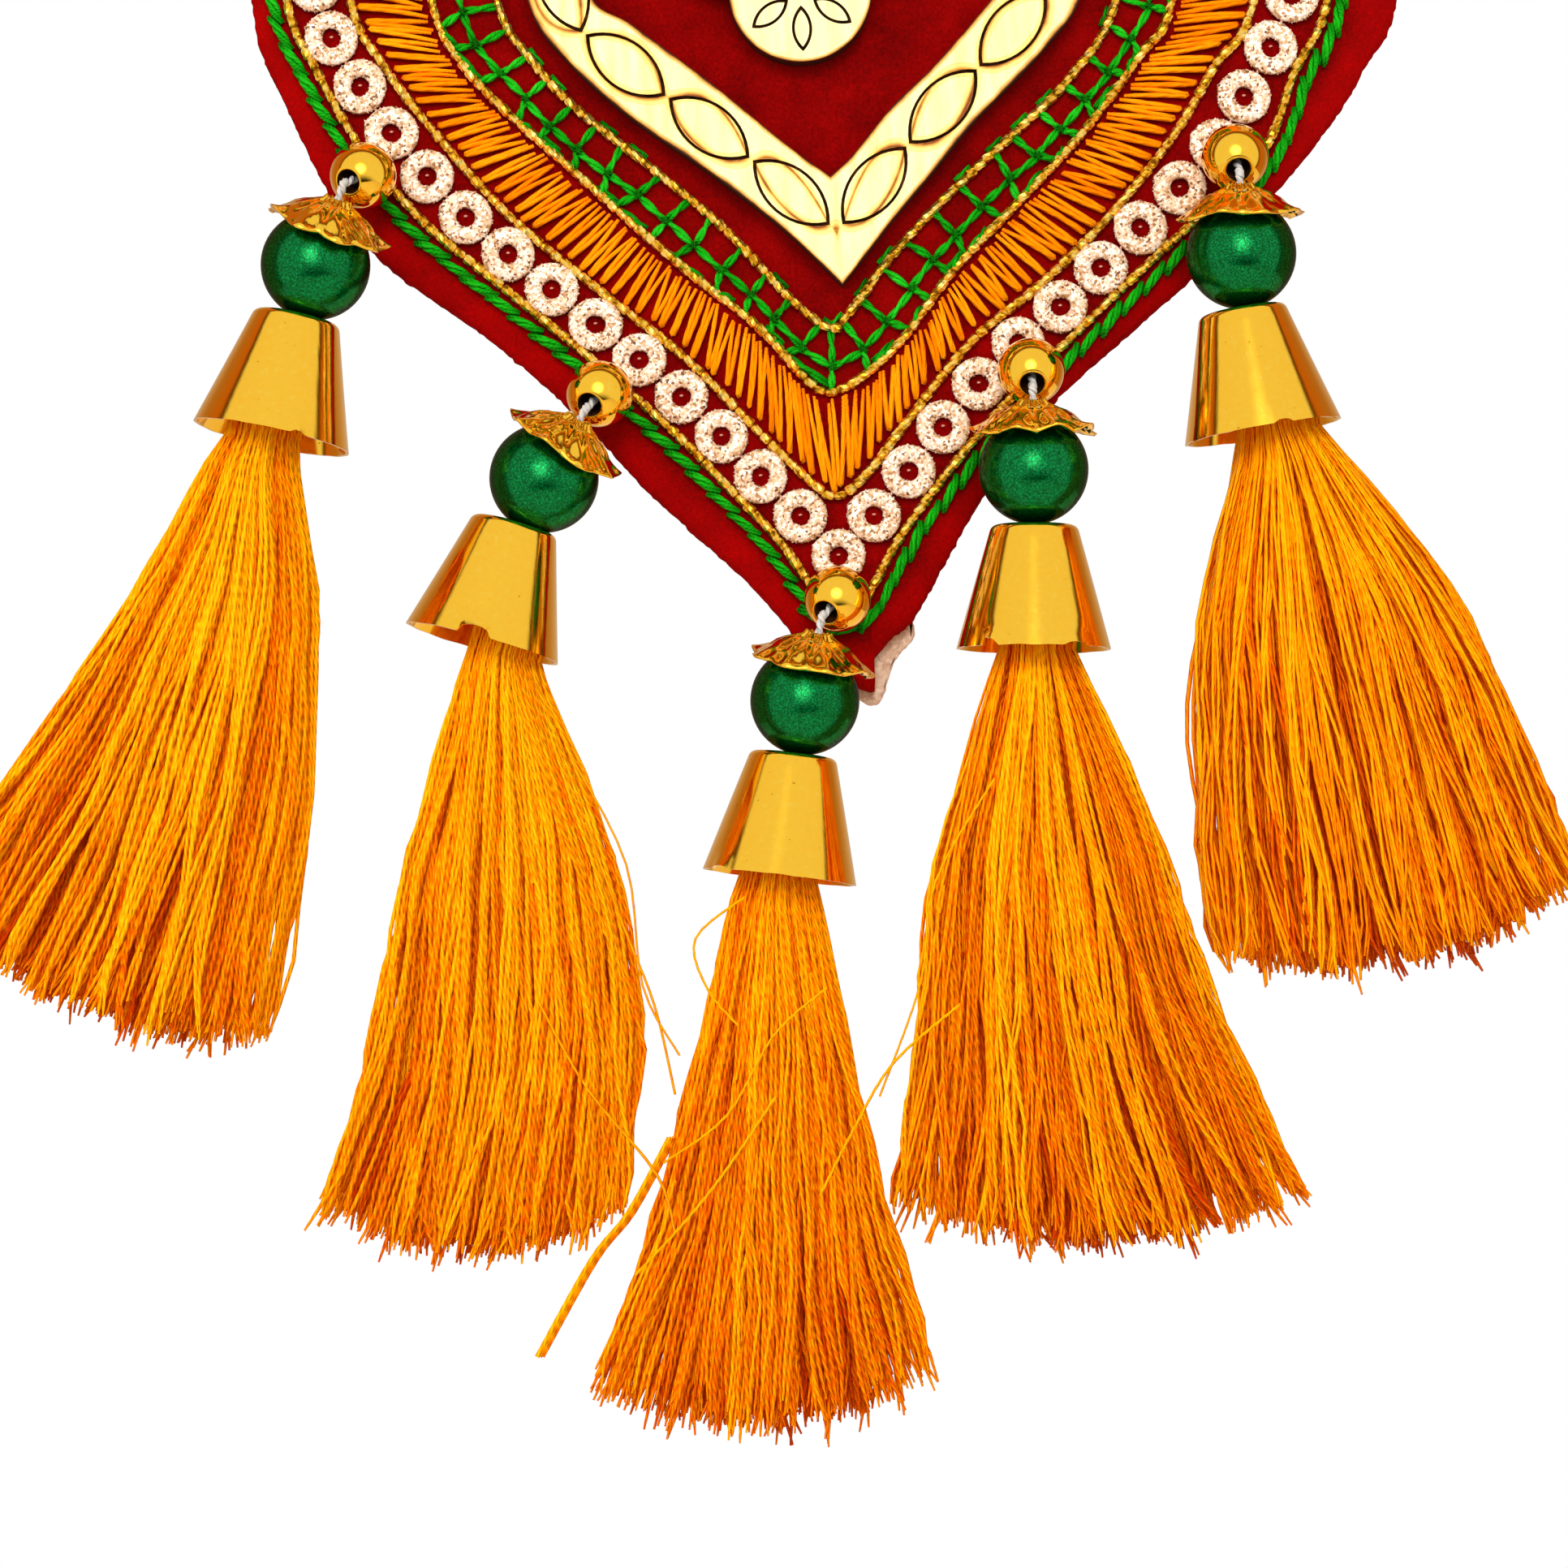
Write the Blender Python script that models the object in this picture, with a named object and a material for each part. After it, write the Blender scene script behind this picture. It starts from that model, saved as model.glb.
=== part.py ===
# Tasselled leaf-shaped cloth hanging. Metres, +Z up, the face looks along -Y and the back lies on y = 0.
# The origin is the middle of the top edge. Tables are in millimetres, as x to the right and z up.
import math
import random

import bmesh
import bpy
from mathutils import Vector

mm = 0.001

# Layers, counted forwards from the back
backing_thick = 1.0
layer_gap = 0.3
velvet_thick = 1.4
velvet_back = backing_thick + layer_gap
trim_back = velvet_back + velvet_thick + layer_gap

# Trims on the velvet
cord_radius = 0.38
stem_offset = 1.35
cord_points = 64
lace_thick = 0.8
lace_radius = 2.35
lace_hole = 0.9
lace_count = 58
lace_fine = 400
band_thick = 0.6
band_clear = 0.8
band_points = 60
wood_thick = 2.5
wood_points = 56
edge_points = 132
edge_wobble = 0.12
backing_inset = 1.2

# Each line of the border runs from its left end down round the tip and up to its right end.
# The crown is the arc over the top: middle x, half width and height above crown_base.
crown_base = -50.0
crown_steps = 9
edge_line = {
    "lower": [(-52.3, -58.0), (-50.2, -65.3), (-45.9, -75.0), (-41.0, -81.8), (-32.0, -89.0), (-24.9, -95.8),
              (-17.9, -104.0), (-9.0, -113.0), (-3.8, -119.6), (1.2, -123.3), (3.2, -120.4), (9.4, -111.4),
              (13.2, -105.6), (20.6, -97.0), (32.3, -87.6), (40.6, -80.1), (46.5, -73.7), (50.5, -68.0),
              (53.9, -61.0)],
    "crown": (1.5, 54.3, 50.0),
}
cord_lines = [
    {
        "lower": [(-49.0, -57.1), (-46.7, -63.2), (-43.0, -70.5), (-37.4, -77.9), (-29.9, -84.7), (-22.1, -91.8),
                  (-15.1, -98.7), (-10.6, -103.8), (-6.0, -109.2), (-2.6, -114.6), (-0.5, -116.2), (1.3, -115.2),
                  (5.0, -109.3), (10.6, -102.5), (16.5, -96.4), (24.0, -89.7), (31.0, -83.7), (40.0, -76.0),
                  (43.8, -68.0), (47.2, -61.4)],
        "crown": (0.2, 50.9, 46.9),
    },
    {
        "lower": [(-43.1, -57.4), (-40.4, -63.2), (-36.2, -69.4), (-29.6, -77.6), (-21.2, -85.3), (-14.0, -91.6),
                  (-7.0, -99.4), (-2.4, -104.2), (-0.3, -105.1), (2.7, -102.8), (6.3, -98.5), (12.7, -91.4),
                  (19.3, -86.5), (26.0, -80.5), (32.3, -73.4), (36.4, -67.2), (40.2, -61.8)],
        "crown": (0.0, 44.9, 40.9),
    },
    {
        "lower": [(-35.6, -57.8), (-33.3, -63.2), (-29.4, -67.9), (-23.0, -74.2), (-14.1, -82.9), (-7.0, -89.2),
                  (-2.8, -94.3), (-0.6, -95.5), (2.8, -93.9), (6.8, -90.3), (11.2, -84.9), (17.5, -78.9),
                  (23.7, -72.9), (29.7, -65.7), (32.6, -61.4)],
        "crown": (-0.5, 37.0, 33.0),
    },
    {
        "lower": [(-29.5, -58.2), (-26.9, -63.1), (-23.1, -67.8), (-16.3, -73.8), (-9.9, -79.7), (-4.2, -86.4),
                  (-1.0, -89.3), (0.1, -89.6), (2.4, -87.1), (5.6, -83.2), (11.5, -77.5), (18.2, -71.9),
                  (22.9, -67.6), (27.4, -61.1)],
        "crown": (0.0, 31.5, 28.0),
    },
]
wood_outer = {
    "lower": [(-26.7, -58.3), (-23.2, -64.1), (-17.6, -69.6), (-10.4, -75.2), (-3.9, -80.8), (0.9, -85.9),
              (5.8, -80.2), (9.8, -75.9), (13.7, -71.6), (20.8, -64.9), (24.6, -59.4)],
    "crown": (-0.5, 28.0, 24.5),
}
wood_inner = {
    "lower": [(-21.0, -57.7), (-17.1, -61.0), (-10.3, -66.6), (-3.2, -73.0), (0.3, -75.8), (2.4, -74.0),
              (6.3, -69.7), (10.3, -66.2), (15.8, -60.5), (19.2, -56.4)],
    "crown": (-0.5, 22.4, 18.9),
}
backing_tab = [(-1.2, -121.2), (0.6, -124.1), (2.1, -124.6), (3.0, -123.3), (4.0, -120.4), (6.0, -117.5)]

# Lotus ornament: a petal is its angle in degrees, its length and half its angular width
lotus_middle = (-1.6, -58.6)
lotus_foot = 6.6
lotus_points = 72
lotus_petals = [(90, 20.0, 19), (54, 17.5, 18), (126, 17.5, 18), (20, 14.0, 18), (160, 14.0, 18)]

# Beads of a tassel, around their own axes
bead_radius = 3.05
bead_front = 7.35
bore_radius = 0.8
string_radius = 0.4
pearl_radius = 5.0
cap_thick = 0.4
cap_petals = 9
cap_scallop = 0.3
cap_profile = [(0.9, 5.75), (3.6, 4.55), (5.1, 3.3), (5.75, 2.75)]
cone_top = 4.1
cone_mouth = 7.1
cone_height = 11.3
cone_wall = 0.5
cone_seat = 5.4
head_top = 3.0
head_neck = 3.9
head_inset = 1.6
locks_across = 8
locks_deep = 3
lock_fill = 0.8
lock_bulge = 3.4
lock_jitter = 0.9
fan_depths = [3.9, 4.6, 5.2, 5.0]

# One row a tassel. bead, hole, pearl and mouth are middles; front is how far the pearl stands from the wall.
# left and right are the fan's two sides, from the mouth of the cone to the ends of the threads.
tassel_rows = [
    {
        "bead": (-42.5, -73.8), "hole": (-43.8, -74.7), "pearl": (-47.1, -82.0), "mouth": (-52.0, -97.6),
        "front": 9.2,
        "left": [(-57.3, -98.2), (-65.5, -111.5), (-76.0, -125.5), (-86.2, -138.2)],
        "right": [(-49.7, -99.8), (-49.0, -115.0), (-51.2, -133.0), (-56.0, -152.5)],
    },
    {
        "bead": (-21.9, -94.9), "hole": (-22.9, -96.2), "pearl": (-27.3, -102.5), "mouth": (-33.9, -117.7),
        "front": 9.2,
        "left": [(-35.8, -119.6), (-41.1, -136.0), (-45.2, -153.0), (-50.6, -168.5)],
        "right": [(-27.9, -121.2), (-23.0, -137.5), (-21.6, -154.0), (-24.0, -170.5)],
    },
    {
        "bead": (-1.1, -114.8), "hole": (-2.4, -116.2), "pearl": (-4.6, -124.0), "mouth": (-7.8, -140.3),
        "front": 9.2,
        "left": [(-12.1, -140.6), (-16.0, -155.0), (-20.9, -171.0), (-27.8, -187.5)],
        "right": [(-4.2, -142.2), (-2.0, -157.0), (0.2, -172.0), (4.0, -187.5)],
    },
    {
        "bead": (17.7, -94.9), "hole": (17.6, -96.4), "pearl": (17.3, -104.1), "mouth": (16.4, -121.1),
        "front": 10.0,
        "left": [(12.8, -121.9), (6.8, -139.0), (4.2, -156.0), (1.6, -170.5)],
        "right": [(20.7, -122.1), (27.0, -139.0), (31.2, -155.0), (38.0, -171.5)],
    },
    {
        "bead": (37.4, -76.3), "hole": (37.4, -77.9), "pearl": (37.2, -85.5), "mouth": (38.4, -102.4),
        "front": 10.0,
        "left": [(36.0, -103.2), (31.8, -119.0), (31.0, -135.5), (32.2, -149.5)],
        "right": [(44.5, -102.8), (54.2, -116.5), (60.5, -132.0), (64.5, -144.5)],
    },
]

# Colours as linear red, green and blue, then roughness and metallic
finishes = {
    "red_velvet": ((0.34, 0.002, 0.002), 0.9, 0.0),
    "cream_felt": ((0.62, 0.36, 0.22), 0.95, 0.0),
    "gold_thread": ((0.72, 0.42, 0.07), 0.35, 0.8),
    "green_thread": ((0.01, 0.22, 0.012), 0.6, 0.0),
    "rose_glitter": ((0.9, 0.62, 0.46), 0.5, 0.3),
    "orange_thread": ((0.95, 0.22, 0.005), 0.5, 0.0),
    "pale_plywood": ((0.9, 0.72, 0.35), 0.6, 0.0),
    "gold_plastic": ((0.8, 0.42, 0.02), 0.15, 1.0),
    "green_pearl": ((0.0, 0.22, 0.08), 0.3, 0.0),
    "white_string": ((0.7, 0.68, 0.65), 0.8, 0.0),
    "tassel_thread": ((1.0, 0.32, 0.01), 0.5, 0.0),
}


# Scene and materials
def clear_scene():
    for obj in list(bpy.data.objects):
        bpy.data.objects.remove(obj, do_unlink=True)


def finish(name):
    found = bpy.data.materials.get(name)
    if found:
        return found
    colour, roughness, metallic = finishes[name]
    made = bpy.data.materials.new(name)
    made.use_nodes = True
    shader = made.node_tree.nodes["Principled BSDF"]
    shader.inputs["Base Color"].default_value = (*colour, 1.0)
    shader.inputs["Roughness"].default_value = roughness
    shader.inputs["Metallic"].default_value = metallic
    made.diffuse_color = (*colour, 1.0)
    return made


def add_empty(name, place, parent=None):
    empty = bpy.data.objects.new(name, None)
    empty.empty_display_size = 5 * mm
    empty.location = place
    empty.parent = parent
    bpy.context.collection.objects.link(empty)
    return empty


def add_object(name, data, material, parent, place=(0.0, 0.0, 0.0)):
    obj = bpy.data.objects.new(name, data)
    obj.data.materials.append(finish(material))
    obj.parent = parent
    obj.location = place
    bpy.context.collection.objects.link(obj)
    return obj


def mesh_from(bm, name, smooth=False):
    bmesh.ops.recalc_face_normals(bm, faces=bm.faces)
    mesh = bpy.data.meshes.new(name)
    bm.to_mesh(mesh)
    bm.free()
    if smooth:
        mesh.shade_smooth()
        mesh.set_sharp_from_angle(angle=math.radians(50))
    return mesh


# Outlines, as lists of (x, z) in millimetres
def crown_arc(middle, half_width, height):
    angles = [math.pi * (step + 0.5) / crown_steps for step in range(crown_steps)]
    return [(middle + half_width * math.cos(a), crown_base + height * math.sin(a)) for a in angles]


def line_points(line):
    return line["lower"] + crown_arc(*line["crown"])


def tip_first(points):
    lowest = min(range(len(points)), key=lambda index: points[index][1])
    return points[lowest:] + points[:lowest]


def curve_between(before, start, end, after, share):
    square = share * share
    cube = square * share
    return tuple(
        0.5 * (2 * b + (c - a) * share + (2 * a - 5 * b + 4 * c - d) * square + (3 * b - a - 3 * c + d) * cube)
        for a, b, c, d in zip(before, start, end, after)
    )


def smooth_loop(points, count, sharp_tip=False):
    points = tip_first(points)
    total = len(points)
    dense = []
    fine = 12
    for index in range(total):
        before = points[index - 1]
        start = points[index]
        end = points[(index + 1) % total]
        after = points[(index + 2) % total]
        if sharp_tip and index == 0:
            before = start
        if sharp_tip and index == total - 1:
            after = end
        dense += [curve_between(before, start, end, after, step / fine) for step in range(fine)]
    return spread_evenly(dense, count)


def spread_evenly(dense, count):
    closed = dense + dense[:1]
    lengths = [0.0]
    for start, end in zip(closed, closed[1:]):
        lengths.append(lengths[-1] + math.dist(start, end))
    spread = []
    index = 0
    for step in range(count):
        wanted = lengths[-1] * step / count
        while lengths[index + 1] < wanted:
            index += 1
        share = (wanted - lengths[index]) / (lengths[index + 1] - lengths[index])
        start, end = closed[index], closed[index + 1]
        spread.append(tuple(a + (b - a) * share for a, b in zip(start, end)))
    return spread


def offset_loop(loop, distance):
    # A positive distance moves the loop outwards, because every loop here runs anticlockwise.
    moved = []
    for index, point in enumerate(loop):
        before = loop[index - 1]
        after = loop[(index + 1) % len(loop)]
        along = Vector((after[0] - before[0], after[1] - before[1])).normalized()
        moved.append((point[0] + along.y * distance, point[1] - along.x * distance))
    return moved


def middle_loop(outer, inner):
    halfway = []
    for point in outer:
        nearest = min(inner, key=lambda other: math.dist(point, other))
        halfway.append(tuple((a + b) / 2 for a, b in zip(point, nearest)))
    return halfway


def face_point(point, front):
    return Vector((point[0], -front, point[1])) * mm


# Flat pieces
def add_slab(name, loop, back, thick, material, parent):
    bm = bmesh.new()
    rear = [bm.verts.new(face_point(point, back)) for point in loop]
    rear_face = bm.faces.new(rear)
    grown = bmesh.ops.extrude_face_region(bm, geom=[rear_face])["geom"]
    moved = [item for item in grown if isinstance(item, bmesh.types.BMVert)]
    bmesh.ops.translate(bm, verts=moved, vec=(0.0, -thick * mm, 0.0))
    return add_object(name, mesh_from(bm, name), material, parent)


def add_band(name, outer, inner, back, thick, material, parent):
    bm = bmesh.new()
    corners = []
    for front, loop in ((back, outer), (back, inner), (back + thick, inner), (back + thick, outer)):
        corners.append([bm.verts.new(face_point(point, front)) for point in loop])
    total = len(outer)
    for side in range(4):
        here = corners[side]
        there = corners[(side + 1) % 4]
        for index in range(total):
            ahead = (index + 1) % total
            bm.faces.new((here[index], here[ahead], there[ahead], there[index]))
    return add_object(name, mesh_from(bm, name), material, parent)


def add_cord(name, loop, material, parent):
    curve = bpy.data.curves.new(name, "CURVE")
    curve.dimensions = "3D"
    curve.bevel_depth = cord_radius * mm
    curve.bevel_resolution = 0
    spline = curve.splines.new("POLY")
    spline.points.add(len(loop) - 1)
    for index, point in enumerate(loop):
        spline.points[index].co = (*face_point(point, trim_back + cord_radius), 1.0)
    spline.use_cyclic_u = True
    return add_object(name, curve, material, parent)


# A chain of flat rings: each is an eight-sided ring whose two facing sides are bridged to its neighbours
def add_ring_lace(name, centres, parent):
    bm = bmesh.new()
    total = len(centres)
    rings = []
    for index, centre in enumerate(centres):
        before = centres[index - 1]
        after = centres[(index + 1) % total]
        turn = math.atan2(after[1] - before[1], after[0] - before[0])
        ring = {}
        for level, front in (("rear", trim_back), ("face", trim_back + lace_thick)):
            for side, count, radius, first in (("out", 8, lace_radius, 22.5), ("in", 4, lace_hole, 0.0)):
                ring[level, side] = []
                for step in range(count):
                    angle = turn + math.radians(first + 360 * step / count)
                    point = (centre[0] + radius * math.cos(angle), centre[1] + radius * math.sin(angle))
                    ring[level, side].append(bm.verts.new(face_point(point, front)))
        rings.append(ring)
    for index, ring in enumerate(rings):
        for level in ("rear", "face"):
            outer, inner = ring[level, "out"], ring[level, "in"]
            for step in range(4):
                bm.faces.new((inner[step], outer[2 * step - 1], outer[2 * step]))
                ahead = (step + 1) % 4
                bm.faces.new((inner[step], outer[2 * step], outer[2 * step + 1], inner[ahead]))
        for side, count, bridged in (("out", 8, (3, 7)), ("in", 4, ())):
            rear, front = ring["rear", side], ring["face", side]
            for step in range(count):
                if step not in bridged:
                    ahead = (step + 1) % count
                    bm.faces.new((rear[step], rear[ahead], front[ahead], front[step]))
        following = rings[(index + 1) % total]
        start = [ring["rear", "out"][7], ring["rear", "out"][0], ring["face", "out"][0], ring["face", "out"][7]]
        end = [following[level, "out"][step] for level, step in (("rear", 4), ("rear", 3), ("face", 3), ("face", 4))]
        for step in range(4):
            ahead = (step + 1) % 4
            bm.faces.new((start[step], start[ahead], end[ahead], end[step]))
    return add_object(name, mesh_from(bm, name), "rose_glitter", parent)


def lotus_outline():
    outline = []
    for step in range(lotus_points):
        angle = 360 * step / lotus_points
        reach = lotus_foot
        for petal_angle, length, half_width in lotus_petals:
            away = abs(angle - petal_angle) / half_width
            if away < 1:
                reach = max(reach, lotus_foot + (length - lotus_foot) * (1 - away) ** 0.6)
        x = lotus_middle[0] + reach * math.cos(math.radians(angle))
        z = lotus_middle[1] + reach * math.sin(math.radians(angle))
        outline.append((x, z))
    return outline


# Turned pieces: the profile is a closed ring of (radius, height), turned about the local Z axis
def turned_mesh(name, profile, sides, radius_at=None):
    bm = bmesh.new()
    rings = []
    for radius, height in profile:
        ring = []
        for step in range(sides):
            angle = math.tau * step / sides
            reach = radius_at(radius, step) if radius_at else radius
            place = Vector((reach * math.cos(angle), reach * math.sin(angle), height)) * mm
            ring.append(bm.verts.new(place))
        rings.append(ring)
    for index, ring in enumerate(rings):
        following = rings[(index + 1) % len(rings)]
        for step in range(sides):
            ahead = (step + 1) % sides
            bm.faces.new((ring[step], ring[ahead], following[ahead], following[step]))
    return mesh_from(bm, name, smooth=True)


def ball_profile(radius, bore, steps):
    first = math.asin(bore / radius)
    angles = [first + (math.pi - 2 * first) * step / steps for step in range(steps + 1)]
    return [(radius * math.sin(a), radius * math.cos(a)) for a in angles]


def cap_loop():
    under = []
    for radius, height in reversed(cap_profile):
        away = math.hypot(radius, height)
        under.append((radius * (1 - cap_thick / away), height * (1 - cap_thick / away)))
    under[-1] = (cap_profile[0][0], under[-1][1])
    return cap_profile + under


def scalloped(radius, step):
    # Only the rim has petals: every second point of it stands out.
    if radius < cap_profile[-2][0]:
        return radius
    return radius + (cap_scallop if step % 2 else -cap_scallop)


def cone_loop():
    slope = (cone_mouth - cone_top) / cone_height
    lid = 0.6
    return [
        (1.0, 0.0),
        (cone_top - 0.35, 0.0),
        (cone_top, -0.4),
        (cone_mouth, -cone_height),
        (cone_mouth - cone_wall, -cone_height),
        (cone_top - cone_wall + slope * lid, -lid),
        (1.0, -lid),
    ]


def point_along(obj, direction):
    obj.rotation_euler = direction.to_track_quat("Z", "Y").to_euler()


# Tassel thread: a head in the cone, and locks that grow from the squares of its underside
def fan_point(row, across, deep, section):
    left = Vector(row["left"][section])
    right = Vector(row["right"][section])
    flat = left.lerp(right, (across + 1) / 2)
    flat.y -= lock_bulge * (1 - across * across) * section / (len(row["left"]) - 1)
    return Vector((flat.x, -row["front"] - deep * fan_depths[section], flat.y))


def disc_point(across, deep):
    return across * math.sqrt(1 - deep * deep / 2), deep * math.sqrt(1 - across * across / 2)


def add_tassel_thread(name, row, cone_lid, axis, parent, origin):
    dice = random.Random(name)
    sideways = Vector((-axis.z, 0.0, axis.x)).normalized()
    bm = bmesh.new()

    def head_vert(across, deep, radius, depth):
        x, y = disc_point(across, deep)
        return cone_lid + axis * depth + (sideways * x + Vector((0.0, -1.0, 0.0)) * y) * radius

    grid = {}
    for i in range(locks_across + 1):
        for j in range(locks_deep + 1):
            across = 2 * i / locks_across - 1
            deep = 2 * j / locks_deep - 1
            place = head_vert(across, deep, head_neck, cone_height)
            grid[i, j] = bm.verts.new((place - origin) * mm)
    cells = []
    for i in range(locks_across):
        for j in range(locks_deep):
            corners = [(i, j), (i + 1, j), (i + 1, j + 1), (i, j + 1)]
            cells.append((bm.faces.new([grid[corner] for corner in corners]), corners))
    rim = [edge for edge in bm.edges if edge.is_boundary]
    raised = bmesh.ops.extrude_edge_only(bm, edges=rim)["geom"]
    lifted = [item for item in raised if isinstance(item, bmesh.types.BMVert)]
    neck_middle = (cone_lid + axis * cone_height - origin) * mm
    top_middle = (cone_lid + axis * head_inset - origin) * mm
    for vert in lifted:
        vert.co = top_middle + (vert.co - neck_middle) * head_top / head_neck
    top_edges = [item for item in raised if isinstance(item, bmesh.types.BMEdge) and item.is_boundary]
    bmesh.ops.edgeloop_fill(bm, edges=top_edges)
    for face, corners in cells:
        bmesh.ops.inset_individual(bm, faces=[face], thickness=0.12 * mm, use_even_offset=True)
        middle_across = 2 * (corners[0][0] + 0.5) / locks_across - 1
        middle_deep = 2 * (corners[0][1] + 0.5) / locks_deep - 1
        longer = dice.uniform(-lock_jitter, lock_jitter)
        for section in range(1, len(fan_depths)):
            face = bmesh.ops.extrude_discrete_faces(bm, faces=[face])["faces"][0]
            for vert, (i, j) in zip(face.verts, corners):
                across = middle_across + (2 * i / locks_across - 1 - middle_across) * lock_fill
                deep = middle_deep + (2 * j / locks_deep - 1 - middle_deep) * lock_fill
                place = fan_point(row, across, deep, section)
                place.z += longer * section / (len(fan_depths) - 1)
                vert.co = (place - origin) * mm
    return add_object(name, mesh_from(bm, name), "tassel_thread", parent)


def add_string(name, points, parent, origin):
    curve = bpy.data.curves.new(name, "CURVE")
    curve.dimensions = "3D"
    curve.bevel_depth = string_radius * mm
    curve.bevel_resolution = 0
    curve.use_fill_caps = True
    spline = curve.splines.new("POLY")
    spline.points.add(len(points) - 1)
    for index, point in enumerate(points):
        spline.points[index].co = (*((point - origin) * mm), 1.0)
    return add_object(name, curve, "white_string", parent)


def add_tassel(number, row, parent):
    bead = Vector((row["bead"][0], -bead_front, row["bead"][1]))
    drop_x = row["hole"][0] - row["bead"][0]
    drop_z = row["hole"][1] - row["bead"][1]
    bore = Vector((drop_x, -math.sqrt(bead_radius**2 - drop_x**2 - drop_z**2), drop_z)).normalized()
    string_bend = bead + bore * (bead_radius + 0.55)
    pearl = Vector((row["pearl"][0], -row["front"], row["pearl"][1]))
    up = (string_bend - pearl).normalized()
    cone_lid = pearl - up * cone_seat
    mouth = Vector((row["mouth"][0], -row["front"], row["mouth"][1]))
    axis = (mouth - cone_lid).normalized()
    group = add_empty(f"tassel_{number}", bead * mm, parent)

    def place(kind, mesh, material, middle, direction):
        obj = add_object(f"{kind}_{number}", mesh, material, group, (middle - bead) * mm)
        point_along(obj, direction)

    place("bead", bead_mesh, "gold_plastic", bead, bore)
    place("cap", cap_mesh, "gold_plastic", pearl, up)
    place("pearl", pearl_mesh, "green_pearl", pearl, up)
    place("cone", cone_mesh, "gold_plastic", cone_lid, -axis)
    route = [bead - bore * 2.6, bead + bore * bead_radius, string_bend, pearl + up * 6.0, pearl, cone_lid]
    route.append(cone_lid + axis * (head_inset - layer_gap))
    add_string(f"string_{number}", route, group, bead)
    add_tassel_thread(f"thread_{number}", row, cone_lid, axis, group, bead)


clear_scene()
hanging = add_empty("hanging", (0.0, 0.0, 0.0))

# Velvet and its backing
wobble = random.Random("edge")
edge = smooth_loop(line_points(edge_line), edge_points)
ragged = [(x + wobble.uniform(-1, 1) * edge_wobble, z + wobble.uniform(-1, 1) * edge_wobble) for x, z in edge]
add_slab("velvet_panel", ragged, velvet_back, velvet_thick, "red_velvet", hanging)
inset = offset_loop(edge, -backing_inset)
tab_top = backing_tab[-1][1]
kept = [point for point in inset if not (point[1] < backing_tab[0][1] or (point[0] > 0 and point[1] < tab_top))]
split = min(range(len(kept)), key=lambda index: math.dist(kept[index], backing_tab[0]))
add_slab("backing_sheet", kept[:split + 1] + backing_tab + kept[split + 1:], 0.0, backing_thick, "cream_felt", hanging)

# Trims, from the edge inwards
cord_loops = [smooth_loop(line_points(line), cord_points) for line in cord_lines]
for number, loop in enumerate(cord_loops, start=1):
    add_cord(f"gold_cord_{number}", loop, "gold_thread", hanging)
add_cord("stem_stitch", offset_loop(cord_loops[0], stem_offset), "green_thread", hanging)
lace_sides = [smooth_loop(line_points(line), lace_fine) for line in cord_lines[:2]]
add_ring_lace("ring_lace", spread_evenly(middle_loop(*lace_sides), lace_count), hanging)
band_outer = offset_loop(smooth_loop(line_points(cord_lines[1]), band_points), -band_clear)
band_inner = offset_loop(smooth_loop(line_points(cord_lines[2]), band_points), band_clear)
add_band("orange_band", band_outer, band_inner, trim_back, band_thick, "orange_thread", hanging)

# Plywood frame and ornament
frame_outer = smooth_loop(line_points(wood_outer), wood_points, sharp_tip=True)
frame_inner = smooth_loop(line_points(wood_inner), wood_points, sharp_tip=True)
add_band("wood_frame", frame_outer, frame_inner, trim_back, wood_thick, "pale_plywood", hanging)
add_slab("wood_lotus", lotus_outline(), trim_back, wood_thick, "pale_plywood", hanging)

# Tassels
bead_mesh = turned_mesh("bead", ball_profile(bead_radius, bore_radius, 6), 12)
pearl_mesh = turned_mesh("pearl", ball_profile(pearl_radius, bore_radius, 8), 16)
cap_mesh = turned_mesh("cap", cap_loop(), 2 * cap_petals, scalloped)
cone_mesh = turned_mesh("cone", cone_loop(), 16)
for number, row in enumerate(tassel_rows, start=1):
    add_tassel(number, row, hanging)
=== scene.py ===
import math
import random

import bmesh
import bpy
from mathutils import Matrix, Vector, noise


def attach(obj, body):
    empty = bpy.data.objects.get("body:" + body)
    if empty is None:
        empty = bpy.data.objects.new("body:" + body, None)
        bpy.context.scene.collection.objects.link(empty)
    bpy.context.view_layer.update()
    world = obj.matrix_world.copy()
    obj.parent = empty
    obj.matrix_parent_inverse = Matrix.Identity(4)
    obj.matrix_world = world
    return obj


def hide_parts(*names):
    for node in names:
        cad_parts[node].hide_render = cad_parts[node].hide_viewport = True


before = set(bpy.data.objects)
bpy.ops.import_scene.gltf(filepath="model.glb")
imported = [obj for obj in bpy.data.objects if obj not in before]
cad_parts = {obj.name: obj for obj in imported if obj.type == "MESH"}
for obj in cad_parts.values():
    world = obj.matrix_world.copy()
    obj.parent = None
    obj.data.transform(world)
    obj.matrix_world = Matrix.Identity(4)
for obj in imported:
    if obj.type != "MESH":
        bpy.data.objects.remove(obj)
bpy.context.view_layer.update()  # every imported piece, all on the body "root"
mm = 0.001
print("frame loaded:", len(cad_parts), "pieces")


# Node trees: one function adds any node, for materials and for Geometry Nodes alike
def linear(hexColour):
    parts = [int(hexColour[i:i + 2], 16) / 255 for i in (1, 3, 5)]
    return tuple(c / 12.92 if c <= 0.04045 else ((c + 0.055) / 1.055) ** 2.4 for c in parts) + (1.0,)


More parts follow.
